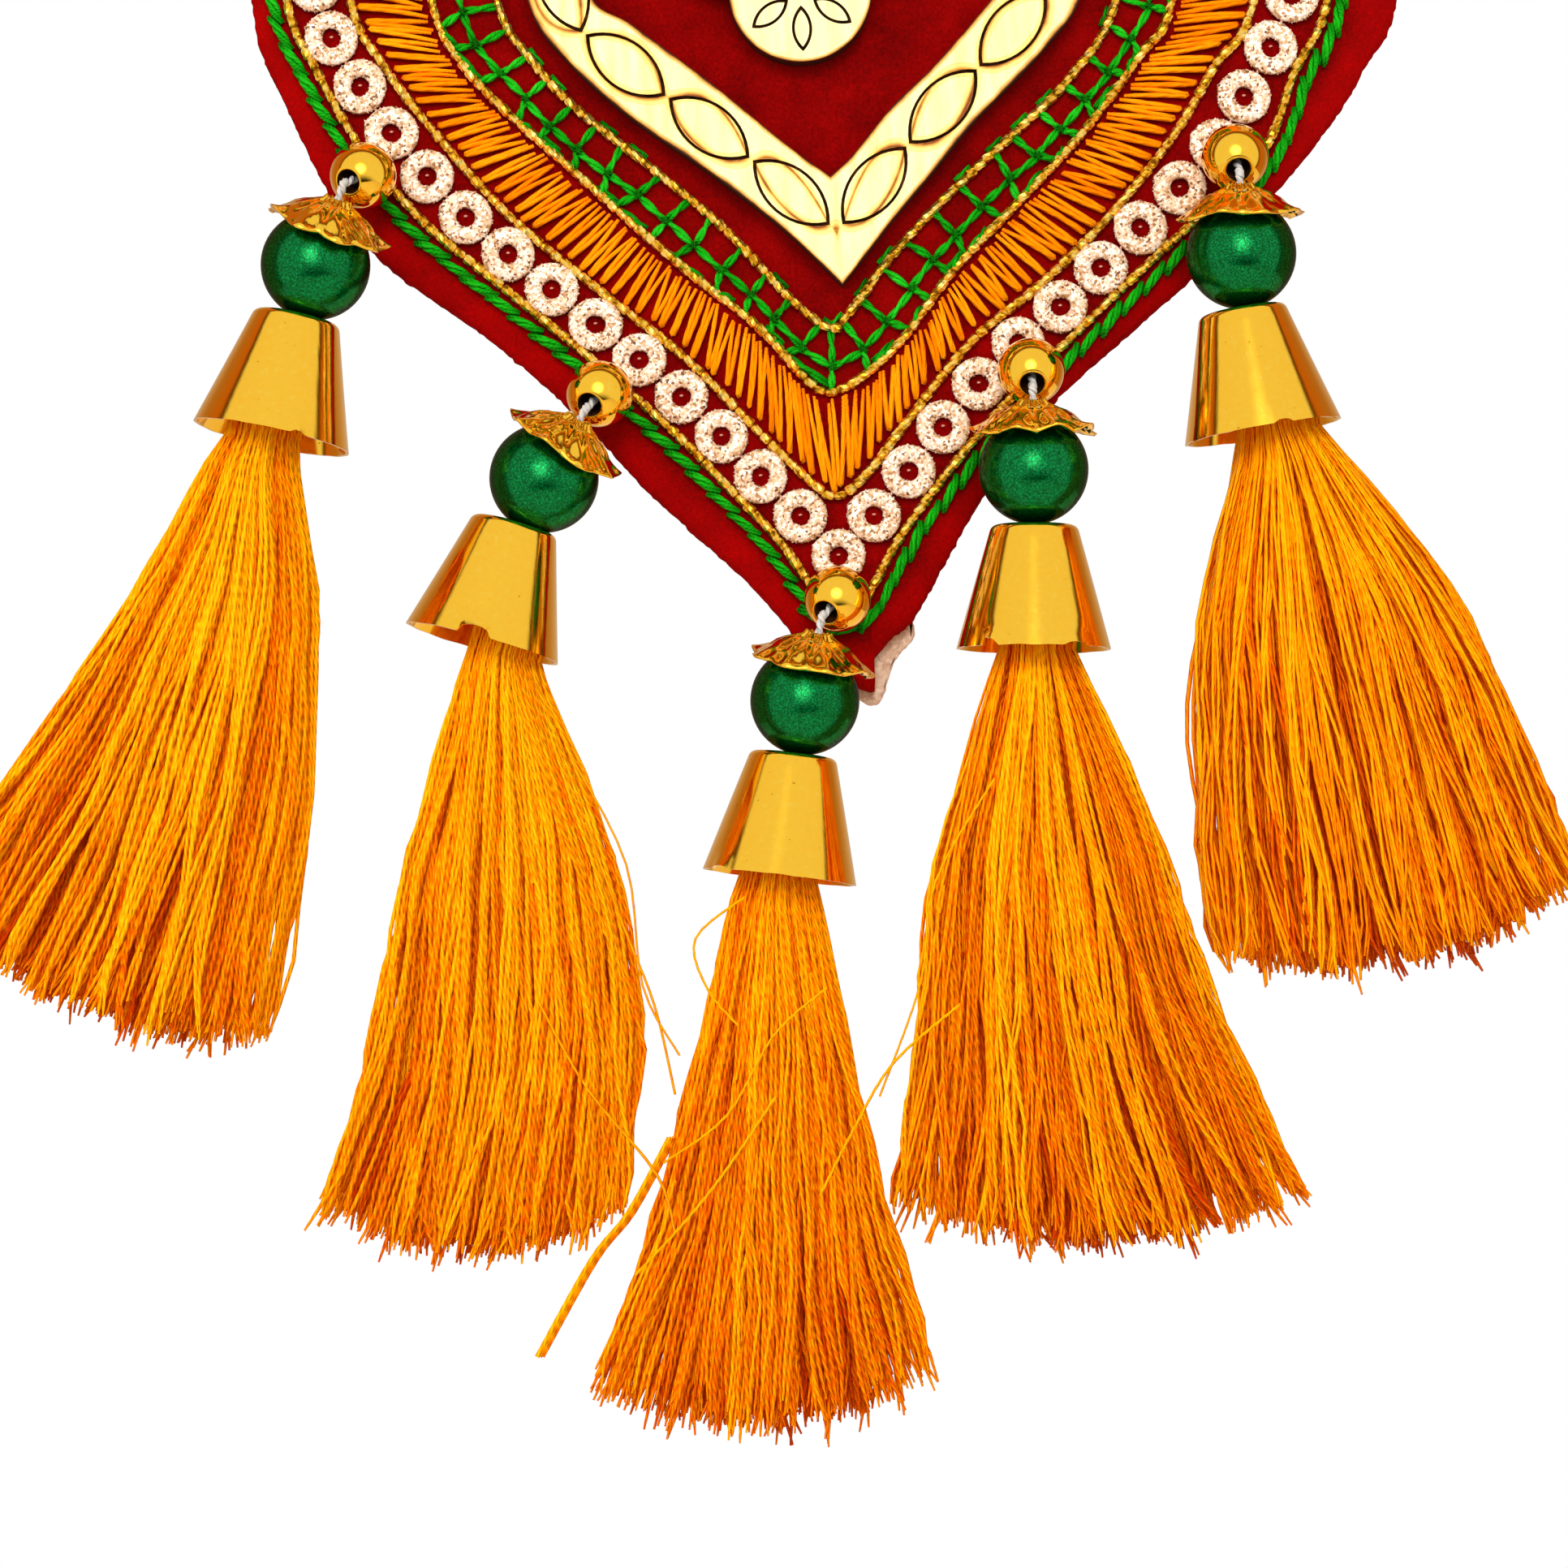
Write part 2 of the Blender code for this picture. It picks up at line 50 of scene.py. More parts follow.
def addNode(tree, kind, settings=None, links=None):
    node = tree.nodes.new(kind)
    for key, value in (settings or {}).items():
        if key == "stops":
            ramp = node.color_ramp
            while len(ramp.elements) < len(value):
                ramp.elements.new(1.0)
            for element, (position, colour) in zip(ramp.elements, value):
                element.position = position
                element.color = linear(colour)
        elif isinstance(key, int) or key in node.inputs:
            node.inputs[key].default_value = value
        else:
            setattr(node, key, value)
    for key, source in (links or {}).items():
        tree.links.new(source, node.inputs[key])
    return node


def startMaterial(name, colour, roughness, metallic=0.0, **sockets):
    made = bpy.data.materials.new(name)
    made.use_nodes = True
    shader = made.node_tree.nodes["Principled BSDF"]
    shader.inputs["Base Color"].default_value = linear(colour)
    shader.inputs["Roughness"].default_value = roughness
    shader.inputs["Metallic"].default_value = metallic
    for socket, value in sockets.items():
        shader.inputs[socket.replace("_", " ")].default_value = value
    made.diffuse_color = linear(colour)
    return made, made.node_tree, shader


def startTree(name, sizes):
    tree = bpy.data.node_groups.new(name, "GeometryNodeTree")
    tree.interface.new_socket("Geometry", in_out="INPUT", socket_type="NodeSocketGeometry")
    for label, (kind, value) in sizes.items():
        socket = tree.interface.new_socket(label, in_out="INPUT", socket_type="NodeSocket" + kind)
        if value is not None:
            socket.default_value = value
    tree.interface.new_socket("Material", in_out="INPUT", socket_type="NodeSocketMaterial")
    tree.interface.new_socket("Geometry", in_out="OUTPUT", socket_type="NodeSocketGeometry")
    return tree, addNode(tree, "NodeGroupInput").outputs


def endTree(tree, given, shape, smooth=True):
    if smooth:
        shape = addNode(tree, "GeometryNodeSetShadeSmooth", links={"Geometry": shape}).outputs[0]
    whole = addNode(tree, "GeometryNodeRealizeInstances", links={"Geometry": shape})
    links = {"Geometry": whole.outputs[0], "Material": given["Material"]}
    painted = addNode(tree, "GeometryNodeSetMaterial", links=links)
    addNode(tree, "NodeGroupOutput", links={"Geometry": painted.outputs[0]})
    return tree


def bake(name, base, tree, material, **sizes):
    # The tree is run once on its base, and only the plain mesh stays.
    modifier = base.modifiers.new(tree.name, "NODES")
    modifier.node_group = tree
    sizes = {label.replace("_", " "): value for label, value in sizes.items()}
    for item in tree.interface.items_tree:
        if item.in_out == "INPUT" and item.name in sizes:
            modifier[item.identifier] = sizes[item.name]
        if item.in_out == "INPUT" and item.name == "Material":
            modifier[item.identifier] = material
    graph = bpy.context.evaluated_depsgraph_get()
    mesh = bpy.data.meshes.new_from_object(base.evaluated_get(graph), depsgraph=graph)
    bpy.data.objects.remove(base)
    made = bpy.data.objects.new(name, mesh)
    bpy.context.collection.objects.link(made)
    return made


def finishPiece(piece, slot, *nodes):
    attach(piece, "root")
    if nodes:
        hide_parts(*nodes)
    piece.data.calc_loop_triangles()
    print("made", piece.name, len(piece.data.loop_triangles), "triangles")
    return piece


# Outlines in millimetres, as x to the right and z up, the same as the solids'
crownBase = -50.0
crownSteps = 9
layers = {"velvetBack": 1.3, "velvetFront": 2.7, "trimBack": 3.0, "woodFront": 5.5, "backing": 1.0}
edgeLine = {
    "lower": [(-52.3, -58.0), (-50.2, -65.3), (-45.9, -75.0), (-41.0, -81.8), (-32.0, -89.0), (-24.9, -95.8),
              (-17.9, -104.0), (-9.0, -113.0), (-3.8, -119.6), (1.3, -123.4), (2.1, -122.4), (2.1, -120.4),
              (4.0, -118.4), (6.0, -116.8), (9.2, -111.8), (13.2, -105.6), (20.6, -97.0), (32.3, -87.6),
              (40.6, -80.1), (46.5, -73.7), (50.5, -68.0), (53.9, -61.0)],
    "crown": (1.5, 54.3, 50.0),
}
cordLines = [
    {
        "lower": [(-49.0, -57.1), (-46.7, -63.2), (-43.0, -70.5), (-37.4, -77.9), (-29.9, -84.7), (-22.1, -91.8),
                  (-15.1, -98.7), (-10.6, -103.8), (-6.0, -109.2), (-2.6, -114.6), (-0.5, -116.2), (1.3, -115.2),
                  (5.0, -109.3), (10.6, -102.5), (16.5, -96.4), (24.0, -89.7), (31.0, -83.7), (40.0, -76.0),
                  (43.8, -68.0), (47.2, -61.4)],
        "crown": (0.2, 50.9, 46.9),
    },
    {
        "lower": [(-43.1, -57.4), (-40.4, -63.2), (-36.2, -69.4), (-29.6, -77.6), (-21.2, -85.3), (-14.0, -91.6),
                  (-7.0, -99.4), (-2.4, -104.2), (-0.3, -105.1), (2.7, -102.8), (6.3, -98.5), (12.7, -91.4),
                  (19.3, -86.5), (26.0, -80.5), (32.3, -73.4), (36.4, -67.2), (40.2, -61.8)],
        "crown": (0.0, 44.9, 40.9),
    },
    {
        "lower": [(-35.6, -57.8), (-33.3, -63.2), (-29.4, -67.9), (-23.0, -74.2), (-14.1, -82.9), (-7.0, -89.2),
                  (-2.8, -94.3), (-0.6, -95.5), (2.8, -93.9), (6.8, -90.3), (11.2, -84.9), (17.5, -78.9),
                  (23.7, -72.9), (29.7, -65.7), (32.6, -61.4)],
        "crown": (-0.5, 37.0, 33.0),
    },
    {
        "lower": [(-29.5, -58.2), (-26.9, -63.1), (-23.1, -67.8), (-16.3, -73.8), (-9.9, -79.7), (-4.2, -86.4),
                  (-1.0, -89.3), (0.1, -89.6), (2.4, -87.1), (5.6, -83.2), (11.5, -77.5), (18.2, -71.9),
                  (22.9, -67.6), (27.4, -61.1)],
        "crown": (0.0, 31.5, 28.0),
    },
]
woodOuter = {
    "lower": [(-26.7, -58.3), (-23.2, -64.1), (-17.6, -69.6), (-10.4, -75.2), (-3.9, -80.8), (0.9, -85.9),
              (5.8, -80.2), (9.8, -75.9), (13.7, -71.6), (20.8, -64.9), (24.6, -59.4)],
    "crown": (-0.5, 28.0, 24.5),
}
woodInner = {
    "lower": [(-21.0, -57.7), (-17.1, -61.0), (-10.3, -66.6), (-3.2, -73.0), (0.3, -75.8), (2.4, -74.0),
              (6.3, -69.7), (10.3, -66.2), (15.8, -60.5), (19.2, -56.4)],
    "crown": (-0.5, 22.4, 18.9),
}
backingTab = [(-1.2, -121.2), (0.6, -124.1), (2.1, -124.6), (3.0, -123.3), (3.7, -121.2), (4.6, -119.9),
              (5.8, -118.7), (6.0, -117.5), (5.7, -116.6)]


def crownArc(middle, halfWidth, height):
    angles = [math.pi * (step + 0.5) / crownSteps for step in range(crownSteps)]
    return [(middle + halfWidth * math.cos(a), crownBase + height * math.sin(a)) for a in angles]


def curveBetween(before, start, end, after, share):
    square = share * share
    cube = square * share
    return tuple(
        0.5 * (2 * b + (c - a) * share + (2 * a - 5 * b + 4 * c - d) * square + (3 * b - a - 3 * c + d) * cube)
        for a, b, c, d in zip(before, start, end, after)
    )


def smoothLoop(line, count, sharpTip=False):
    points = line["lower"] + crownArc(*line["crown"])
    lowest = min(range(len(points)), key=lambda index: points[index][1])
    points = points[lowest:] + points[:lowest]
    total = len(points)
    dense = []
    fine = 12
    for index in range(total):
        before = points[index - 1]
        start = points[index]
        end = points[(index + 1) % total]
        after = points[(index + 2) % total]
        if sharpTip and index == 0:
            before = start
        if sharpTip and index == total - 1:
            after = end
        dense += [curveBetween(before, start, end, after, step / fine) for step in range(fine)]
    return spreadEvenly(dense, count)


def spreadEvenly(dense, count):
    closed = dense + dense[:1]
    lengths = [0.0]
    for start, end in zip(closed, closed[1:]):
        lengths.append(lengths[-1] + math.dist(start, end))
    spread = []
    index = 0
    for step in range(count):
        wanted = lengths[-1] * step / count
        while lengths[index + 1] < wanted:
            index += 1
        share = (wanted - lengths[index]) / (lengths[index + 1] - lengths[index])
        start, end = closed[index], closed[index + 1]
        spread.append(tuple(a + (b - a) * share for a, b in zip(start, end)))
    return spread


def offsetLoop(loop, distance):
    # A positive distance moves the loop outwards, because every loop here runs anticlockwise.
    moved = []
    for index, point in enumerate(loop):
        before = loop[index - 1]
        after = loop[(index + 1) % len(loop)]
        along = Vector((after[0] - before[0], after[1] - before[1])).normalized()
        moved.append((point[0] + along.y * distance, point[1] - along.x * distance))
    return moved


def middleLoop(outer, inner, share=0.5):
    halfway = []
    for point in outer:
        nearest = min(inner, key=lambda other: math.dist(point, other))
        halfway.append(tuple(a + (b - a) * share for a, b in zip(point, nearest)))
    return halfway


def loopLength(loop):
    return sum(math.dist(loop[index - 1], loop[index]) for index in range(len(loop)))


def facePoint(point, front):
    return Vector((point[0], -front, point[1]))


def addObject(name, bm, material, smooth=True):
    bmesh.ops.recalc_face_normals(bm, faces=bm.faces)
    mesh = bpy.data.meshes.new(name)
    bm.to_mesh(mesh)
    bm.free()
    if smooth:
        mesh.shade_smooth()
    made = bpy.data.objects.new(name, mesh)
    made.data.materials.append(material)
    bpy.context.collection.objects.link(made)
    return made


def turned(name, profile, sides, material, shape=None):
    # The profile is a closed ring of (radius, height) about Z; shape may move each point.
    bm = bmesh.new()
    rings = []
    for row, (radius, height) in enumerate(profile):
        ring = []
        for step in range(sides):
            angle = math.tau * step / sides
            reach, rise = shape(radius, height, angle, row) if shape else (radius, height)
            ring.append(bm.verts.new(Vector((reach * math.cos(angle), reach * math.sin(angle), rise)) * mm))
        rings.append(ring)
    for index, ring in enumerate(rings):
        following = rings[(index + 1) % len(rings)]
        for step in range(sides):
            ahead = (step + 1) % sides
            bm.faces.new((ring[step], ring[ahead], following[ahead], following[step]))
    return addObject(name, bm, material)


def pathObject(loop, front):
    curve = bpy.data.curves.new("path", "CURVE")
    curve.dimensions = "3D"
    spline = curve.splines.new("POLY")
    spline.points.add(len(loop) - 1)
    for index, point in enumerate(loop):
        spline.points[index].co = (*(facePoint(point, front) * mm), 1.0)
    spline.use_cyclic_u = True
    made = bpy.data.objects.new("path", curve)
    bpy.context.collection.objects.link(made)
    return made


def strandObject(strands):
    # A strand is its points, its half thickness at each of them and a tone from 0, pale, to 1, deep.
    verts = []
    edges = []
    girths = []
    tones = []
    for points, girth, tone in strands:
        first = len(verts)
        verts += [point * mm for point in points]
        girths += [g * mm for g in girth]
        tones += tone if isinstance(tone, list) else [tone] * len(points)
        edges += [(first + step, first + step + 1) for step in range(len(points) - 1)]
    mesh = bpy.data.meshes.new("strands")
    mesh.from_pydata(verts, edges, [])
    mesh.attributes.new("girth", "FLOAT", "POINT").data.foreach_set("value", girths)
    mesh.attributes.new("tone", "FLOAT", "POINT").data.foreach_set("value", tones)
    made = bpy.data.objects.new("strands", mesh)
    bpy.context.collection.objects.link(made)
    return made


def twisted(path, away, girth, turns, tone, phase=0.0, plies=2, taper=0.55, paintedEndShade=0.0):
    # Plies wound round one another along a path, thinner at both ends where they enter the cloth.
    strands = []
    last = len(path) - 1
    for ply in range(plies):
        points = []
        girths = []
        tones = []
        for step, point in enumerate(path):
            along = (path[min(step + 1, last)] - path[max(step - 1, 0)]).normalized()
            side = along.cross(Vector((0, -1, 0))).normalized()
            lift = side.cross(along)
            angle = phase + math.tau * (ply / plies + turns * step / last)
            points.append(point + (side * math.cos(angle) + lift * math.sin(angle)) * away)
            ends = math.sin(math.pi * min(max(step / last, 0.06), 0.94)) ** 0.35
            girths.append(girth * (taper + (1 - taper) * ends))
            # Painted shade: the tone deepens towards both ends, where the plies go into the cloth
            tones.append(tone + paintedEndShade * (1 - ends))
        strands.append((points, girths, tones))
    return strands


# Geometry Nodes: threads swept along edges, things set along a path, flakes scattered on a surface
def threadTree():
    tree, given = startTree("threadSweep", {"Sides": ("Int", 4)})
    named = addNode(tree, "GeometryNodeInputNamedAttribute", {"data_type": "FLOAT", "Name": "girth"})
    lines = addNode(tree, "GeometryNodeMeshToCurve", links={"Mesh": given["Geometry"]})
    along = addNode(tree, "GeometryNodeSplineParameter")
    links = {"Geometry": lines.outputs[0], "Value": along.outputs["Length"]}
    marked = addNode(tree, "GeometryNodeStoreNamedAttribute", {"data_type": "FLOAT", "Name": "along"}, links)
    ring = addNode(tree, "GeometryNodeCurvePrimitiveCircle", {"Radius": 1.0}, {"Resolution": given["Sides"]})
    around = addNode(tree, "GeometryNodeSplineParameter").outputs["Factor"]
    links = {"Geometry": ring.outputs[0], "Value": around}
    ring = addNode(tree, "GeometryNodeStoreNamedAttribute", {"data_type": "FLOAT", "Name": "around"}, links)
    links = {"Curve": marked.outputs[0], "Profile Curve": ring.outputs[0], "Scale": named.outputs["Attribute"]}
    swept = addNode(tree, "GeometryNodeCurveToMesh", {"Fill Caps": True}, links)
    return endTree(tree, given, swept.outputs[0])


def repeatTree():
    sizes = {
        "Pitch": ("Float", 0.001),
        "Model": ("Object", None),
        "Slant": ("Vector", (0.0, 0.0, 0.0)),
        "Tilt": ("Vector", (0.0, 0.0, 0.0)),
        "Thinnest": ("Vector", (1.0, 1.0, 1.0)),
        "Thickest": ("Vector", (1.0, 1.0, 1.0)),
        "Seed": ("Int", 1),
    }
    tree, given = startTree("repeatAlong", sizes)
    links = {"Curve": given["Geometry"], "Length": given["Pitch"]}
    spots = addNode(tree, "GeometryNodeResampleCurve", {"mode": "LENGTH"}, links)
    model = addNode(tree, "GeometryNodeObjectInfo", links={"Object": given["Model"]})
    tangent = addNode(tree, "GeometryNodeInputTangent")
    along = addNode(tree, "FunctionNodeAlignRotationToVector", {"axis": "Z"}, {"Vector": tangent.outputs[0]})
    settings = {"axis": "Y", "pivot_axis": "Z", "Vector": (0.0, -1.0, 0.0)}
    facing = addNode(tree, "FunctionNodeAlignRotationToVector", settings, {"Rotation": along.outputs[0]})
    links = {0: given["Thinnest"], 1: given["Thickest"], "Seed": given["Seed"]}
    size = addNode(tree, "FunctionNodeRandomValue", {"data_type": "FLOAT_VECTOR"}, links)
    links = {"Points": spots.outputs[0], "Instance": model.outputs["Geometry"], "Rotation": facing.outputs[0],
             "Scale": size.outputs[0]}
    placed = addNode(tree, "GeometryNodeInstanceOnPoints", links=links)
    low = addNode(tree, "ShaderNodeVectorMath", {"operation": "SUBTRACT"}, {0: given["Slant"], 1: given["Tilt"]})
    high = addNode(tree, "ShaderNodeVectorMath", {"operation": "ADD"}, {0: given["Slant"], 1: given["Tilt"]})
    links = {0: low.outputs[0], 1: high.outputs[0], "Seed": given["Seed"]}
    lean = addNode(tree, "FunctionNodeRandomValue", {"data_type": "FLOAT_VECTOR"}, links)
    links = {"Instances": placed.outputs[0], "Rotation": lean.outputs[0]}
    leaning = addNode(tree, "GeometryNodeRotateInstances", links=links)
    return endTree(tree, given, leaning.outputs[0], smooth=False)


def glitterTree():
    sizes = {"Density": ("Float", 1000.0), "Flake": ("Float", 0.0001), "Seed": ("Int", 1)}
    tree, given = startTree("glitterScatter", sizes)
    links = {"Mesh": given["Geometry"], "Density": given["Density"], "Seed": given["Seed"]}
    spots = addNode(tree, "GeometryNodeDistributePointsOnFaces", links=links)
    settings = {"Vertices": 3, "Radius Top": 0.0, "Radius Bottom": 1.0, "Depth": 0.8}
    flake = addNode(tree, "GeometryNodeMeshCone", settings)
    turn = addNode(tree, "FunctionNodeRandomValue", {"data_type": "FLOAT_VECTOR", 1: (6.3, 6.3, 6.3)},
                   {"Seed": given["Seed"]})
    smaller = addNode(tree, "ShaderNodeMath", {"operation": "MULTIPLY", 1: 0.6}, {0: given["Flake"]})
    links = {2: smaller.outputs[0], 3: given["Flake"], "Seed": given["Seed"]}
    size = addNode(tree, "FunctionNodeRandomValue", {"data_type": "FLOAT"}, links)
    links = {"Points": spots.outputs["Points"], "Instance": flake.outputs["Mesh"], "Rotation": turn.outputs[0],
             "Scale": size.outputs[1]}
    grains = addNode(tree, "GeometryNodeInstanceOnPoints", links=links)
    both = addNode(tree, "GeometryNodeJoinGeometry", links={"Geometry": grains.outputs[0]})
    tree.links.new(given["Geometry"], both.inputs[0])
    return endTree(tree, given, both.outputs[0])


threadSweep = threadTree()
repeatAlong = repeatTree()
glitterScatter = glitterTree()


def sweep(name, strands, material, sides=4):
    return bake(name, strandObject(strands), threadSweep, material, Sides=sides)


# Materials
def velvetMaterial():
    # Cut-pile polyester velvet: deep red that drinks the light, with a bright nap where it is brushed
    made, tree, shader = startMaterial("velvetCutPile", "#8E0000", 0.85, Specular_IOR_Level=0.05, Sheen_Weight=0.12,
                                       Sheen_Roughness=0.4, Sheen_Tint=linear("#FF1000"))
    where = addNode(tree, "ShaderNodeTexCoord").outputs["Object"]
    brushed = addNode(tree, "ShaderNodeTexNoise", {"Scale": 260.0, "Detail": 4.0, "Roughness": 0.6}, {"Vector": where})
    pile = addNode(tree, "ShaderNodeTexNoise", {"Scale": 3200.0, "Detail": 2.0}, {"Vector": where})
    mottled = addNode(tree, "ShaderNodeMix", {"data_type": "FLOAT", 0: 0.45},
                      {2: brushed.outputs["Fac"], 3: pile.outputs["Fac"]})
    # Painted shade in part: the velvet inside the cords gets darker stops than the margin, for its own deeper tone and
    # for the shade of the raised frame and trims beside it.
    stops = [(0.3, "#560000"), (0.5, "#7A0000"), (0.72, "#980202")]
    inner = addNode(tree, "ShaderNodeValToRGB", {"stops": stops}, {"Fac": mottled.outputs[0]})
    stops = [(0.3, "#700000"), (0.5, "#8A0000"), (0.72, "#A40000")]
    outer = addNode(tree, "ShaderNodeValToRGB", {"stops": stops}, {"Fac": mottled.outputs[0]})
    margin = addNode(tree, "ShaderNodeAttribute", {"attribute_name": "margin"})
    links = {"Factor": margin.outputs["Fac"], 6: inner.outputs[0], 7: outer.outputs[0]}
    colour = addNode(tree, "ShaderNodeMix", {"data_type": "RGBA"}, links)
    bump = addNode(tree, "ShaderNodeBump", {"Strength": 0.35, "Distance": 0.0002}, {"Height": mottled.outputs[0]})
    tree.links.new(colour.outputs[2], shader.inputs["Base Color"])
    tree.links.new(bump.outputs[0], shader.inputs["Normal"])
    return made


def feltMaterial():
    # Needled wool-mix felt: matt, clouded, a little hairy
    made, tree, shader = startMaterial("needledFelt", "#DCC0A4", 0.95, Specular_IOR_Level=0.2, Sheen_Weight=0.3)
    where = addNode(tree, "ShaderNodeTexCoord").outputs["Object"]
    fibres = addNode(tree, "ShaderNodeTexNoise", {"Scale": 1400.0, "Detail": 5.0, "Distortion": 1.5}, {"Vector": where})
    stops = [(0.3, "#C09A7C"), (0.55, "#DCC0A4"), (0.8, "#F0DECA")]
    colour = addNode(tree, "ShaderNodeValToRGB", {"stops": stops}, {"Fac": fibres.outputs["Fac"]})
    bump = addNode(tree, "ShaderNodeBump", {"Strength": 0.5, "Distance": 0.0002}, {"Height": fibres.outputs["Fac"]})
    tree.links.new(colour.outputs[0], shader.inputs["Base Color"])
    tree.links.new(bump.outputs[0], shader.inputs["Normal"])
    return made


def foilMaterial():
    # Metallised film wound on a thread: yellow foil, with painted highlights (pale yellow) and painted shade (brown)
    # spread over it by noise
    made, tree, shader = startMaterial("metallisedFoilThread", "#F5C24A", 0.24, 0.9)
    where = addNode(tree, "ShaderNodeTexCoord").outputs["Object"]
    crumpleAndPaintedShine = addNode(tree, "ShaderNodeTexNoise", {"Scale": 1500.0, "Detail": 3.0}, {"Vector": where})
    # Painted highlight and painted shade: the noise turns the foil brown in places and pale yellow in others.
    stops = [(0.32, "#8A5206"), (0.46, "#F4B422"), (0.66, "#FFE27A")]
    colour = addNode(tree, "ShaderNodeValToRGB", {"stops": stops}, {"Fac": crumpleAndPaintedShine.outputs["Fac"]})
    bump = addNode(tree, "ShaderNodeBump", {"Strength": 0.6, "Distance": 0.00012}, {"Height": crumpleAndPaintedShine.outputs["Fac"]})
    tree.links.new(colour.outputs[0], shader.inputs["Base Color"])
    tree.links.new(bump.outputs[0], shader.inputs["Normal"])
    return made


def flossMaterial(name, stops, plyPitch, sheen, nips=0.1, glow=0.0, deepening=0.0):
    # Stranded embroidery floss or rayon yarn: satin, with a ply mark every plyPitch millimetres
    # A faint emission in the deepest colour is painted light: a glow in the gaps between the fibres, for light that has
    # scattered through them.
    made, tree, shader = startMaterial(name, stops[0][1], 0.5, Specular_IOR_Level=0.22, Specular_Tint=linear(sheen),
                                       Emission_Color=linear(stops[-1][1]), Emission_Strength=glow)
    where = addNode(tree, "ShaderNodeTexCoord").outputs["Object"]
    tone = addNode(tree, "ShaderNodeAttribute", {"attribute_name": "tone"})
    along = addNode(tree, "ShaderNodeAttribute", {"attribute_name": "along"})
    drift = addNode(tree, "ShaderNodeTexNoise", {"Scale": 900.0, "Detail": 3.0}, {"Vector": where})
    spread = addNode(tree, "ShaderNodeMath", {"operation": "MULTIPLY_ADD", 1: 0.5, 2: -0.25},
                     {0: drift.outputs["Fac"]})
    # Painted highlight and painted shade along the plies: the colour is lighter on their crests and darker in their
    # nips
    turns = addNode(tree, "ShaderNodeMath", {"operation": "MULTIPLY", 1: math.tau / (plyPitch * mm)},
                    {0: along.outputs["Fac"]})
    # Each strand starts its twist at its own point, and the plies wind round it.
    own = addNode(tree, "ShaderNodeMath", {"operation": "MULTIPLY_ADD", 1: 75.0},
                  {0: tone.outputs["Fac"], 2: turns.outputs[0]})
    around = addNode(tree, "ShaderNodeAttribute", {"attribute_name": "around"})
    wound = addNode(tree, "ShaderNodeMath", {"operation": "MULTIPLY_ADD", 1: 2 * math.tau},
                    {0: around.outputs["Fac"], 2: own.outputs[0]})
    swing = addNode(tree, "ShaderNodeMath", {"operation": "MULTIPLY_ADD", 1: 6.0},
                    {0: drift.outputs["Fac"], 2: wound.outputs[0]})
    ply = addNode(tree, "ShaderNodeMath", {"operation": "SINE"}, {0: swing.outputs[0]})
    mixed = addNode(tree, "ShaderNodeMath", {"operation": "ADD"}, {0: tone.outputs["Fac"], 1: spread.outputs[0]})
    nipped = addNode(tree, "ShaderNodeMath", {"operation": "MULTIPLY_ADD", 1: -nips},
                     {0: ply.outputs[0], 2: mixed.outputs[0]})
    # A long thread lies deeper in the others towards its end, where less light reaches it
    deeper = addNode(tree, "ShaderNodeMath", {"operation": "MULTIPLY_ADD", 1: deepening},
                     {0: along.outputs["Fac"], 2: nipped.outputs[0]})
    colour = addNode(tree, "ShaderNodeValToRGB", {"stops": stops}, {"Fac": deeper.outputs[0]})
    bump = addNode(tree, "ShaderNodeBump", {"Strength": 0.5, "Distance": 0.00006}, {"Height": ply.outputs[0]})
    tree.links.new(colour.outputs[0], shader.inputs["Base Color"])
    tree.links.new(bump.outputs[0], shader.inputs["Normal"])
    return made


def glitterMaterial():
    # Polyester glitter on foam: pale pink grains; the near-white and brown grains are painted glints and painted shade,
    # for grains turned towards and away from the light
    made, tree, shader = startMaterial("polyesterGlitter", "#F0C4A0", 0.35, 0.2)
    where = addNode(tree, "ShaderNodeTexCoord").outputs["Object"]
    grains = addNode(tree, "ShaderNodeTexVoronoi", {"Scale": 4200.0}, {"Vector": where})
    pick = addNode(tree, "ShaderNodeSeparateColor", links={"Color": grains.outputs["Color"]})
    stops = [(0.0, "#6A3C1C"), (0.1, "#B8804C"), (0.3, "#E6B68A"), (0.6, "#F8D6B8"), (0.85, "#FFF2E2")]
    colour = addNode(tree, "ShaderNodeValToRGB", {"stops": stops}, {"Fac": pick.outputs[0]})
    bump = addNode(tree, "ShaderNodeBump", {"Strength": 0.6, "Distance": 0.0001}, {"Height": pick.outputs[1]})
    tree.links.new(colour.outputs[0], shader.inputs["Base Color"])
    tree.links.new(bump.outputs[0], shader.inputs["Normal"])
    return made


eyes = {"length": 8.6, "halfWidth": 2.15, "gap": 0.8, "line": 0.27, "deep": 0.3, "tipGap": 1.0}
eyePitch = eyes["length"] + eyes["gap"]
eyeRadius = (eyes["length"] ** 2 / 4 + eyes["halfWidth"] ** 2) / (2 * eyes["halfWidth"])


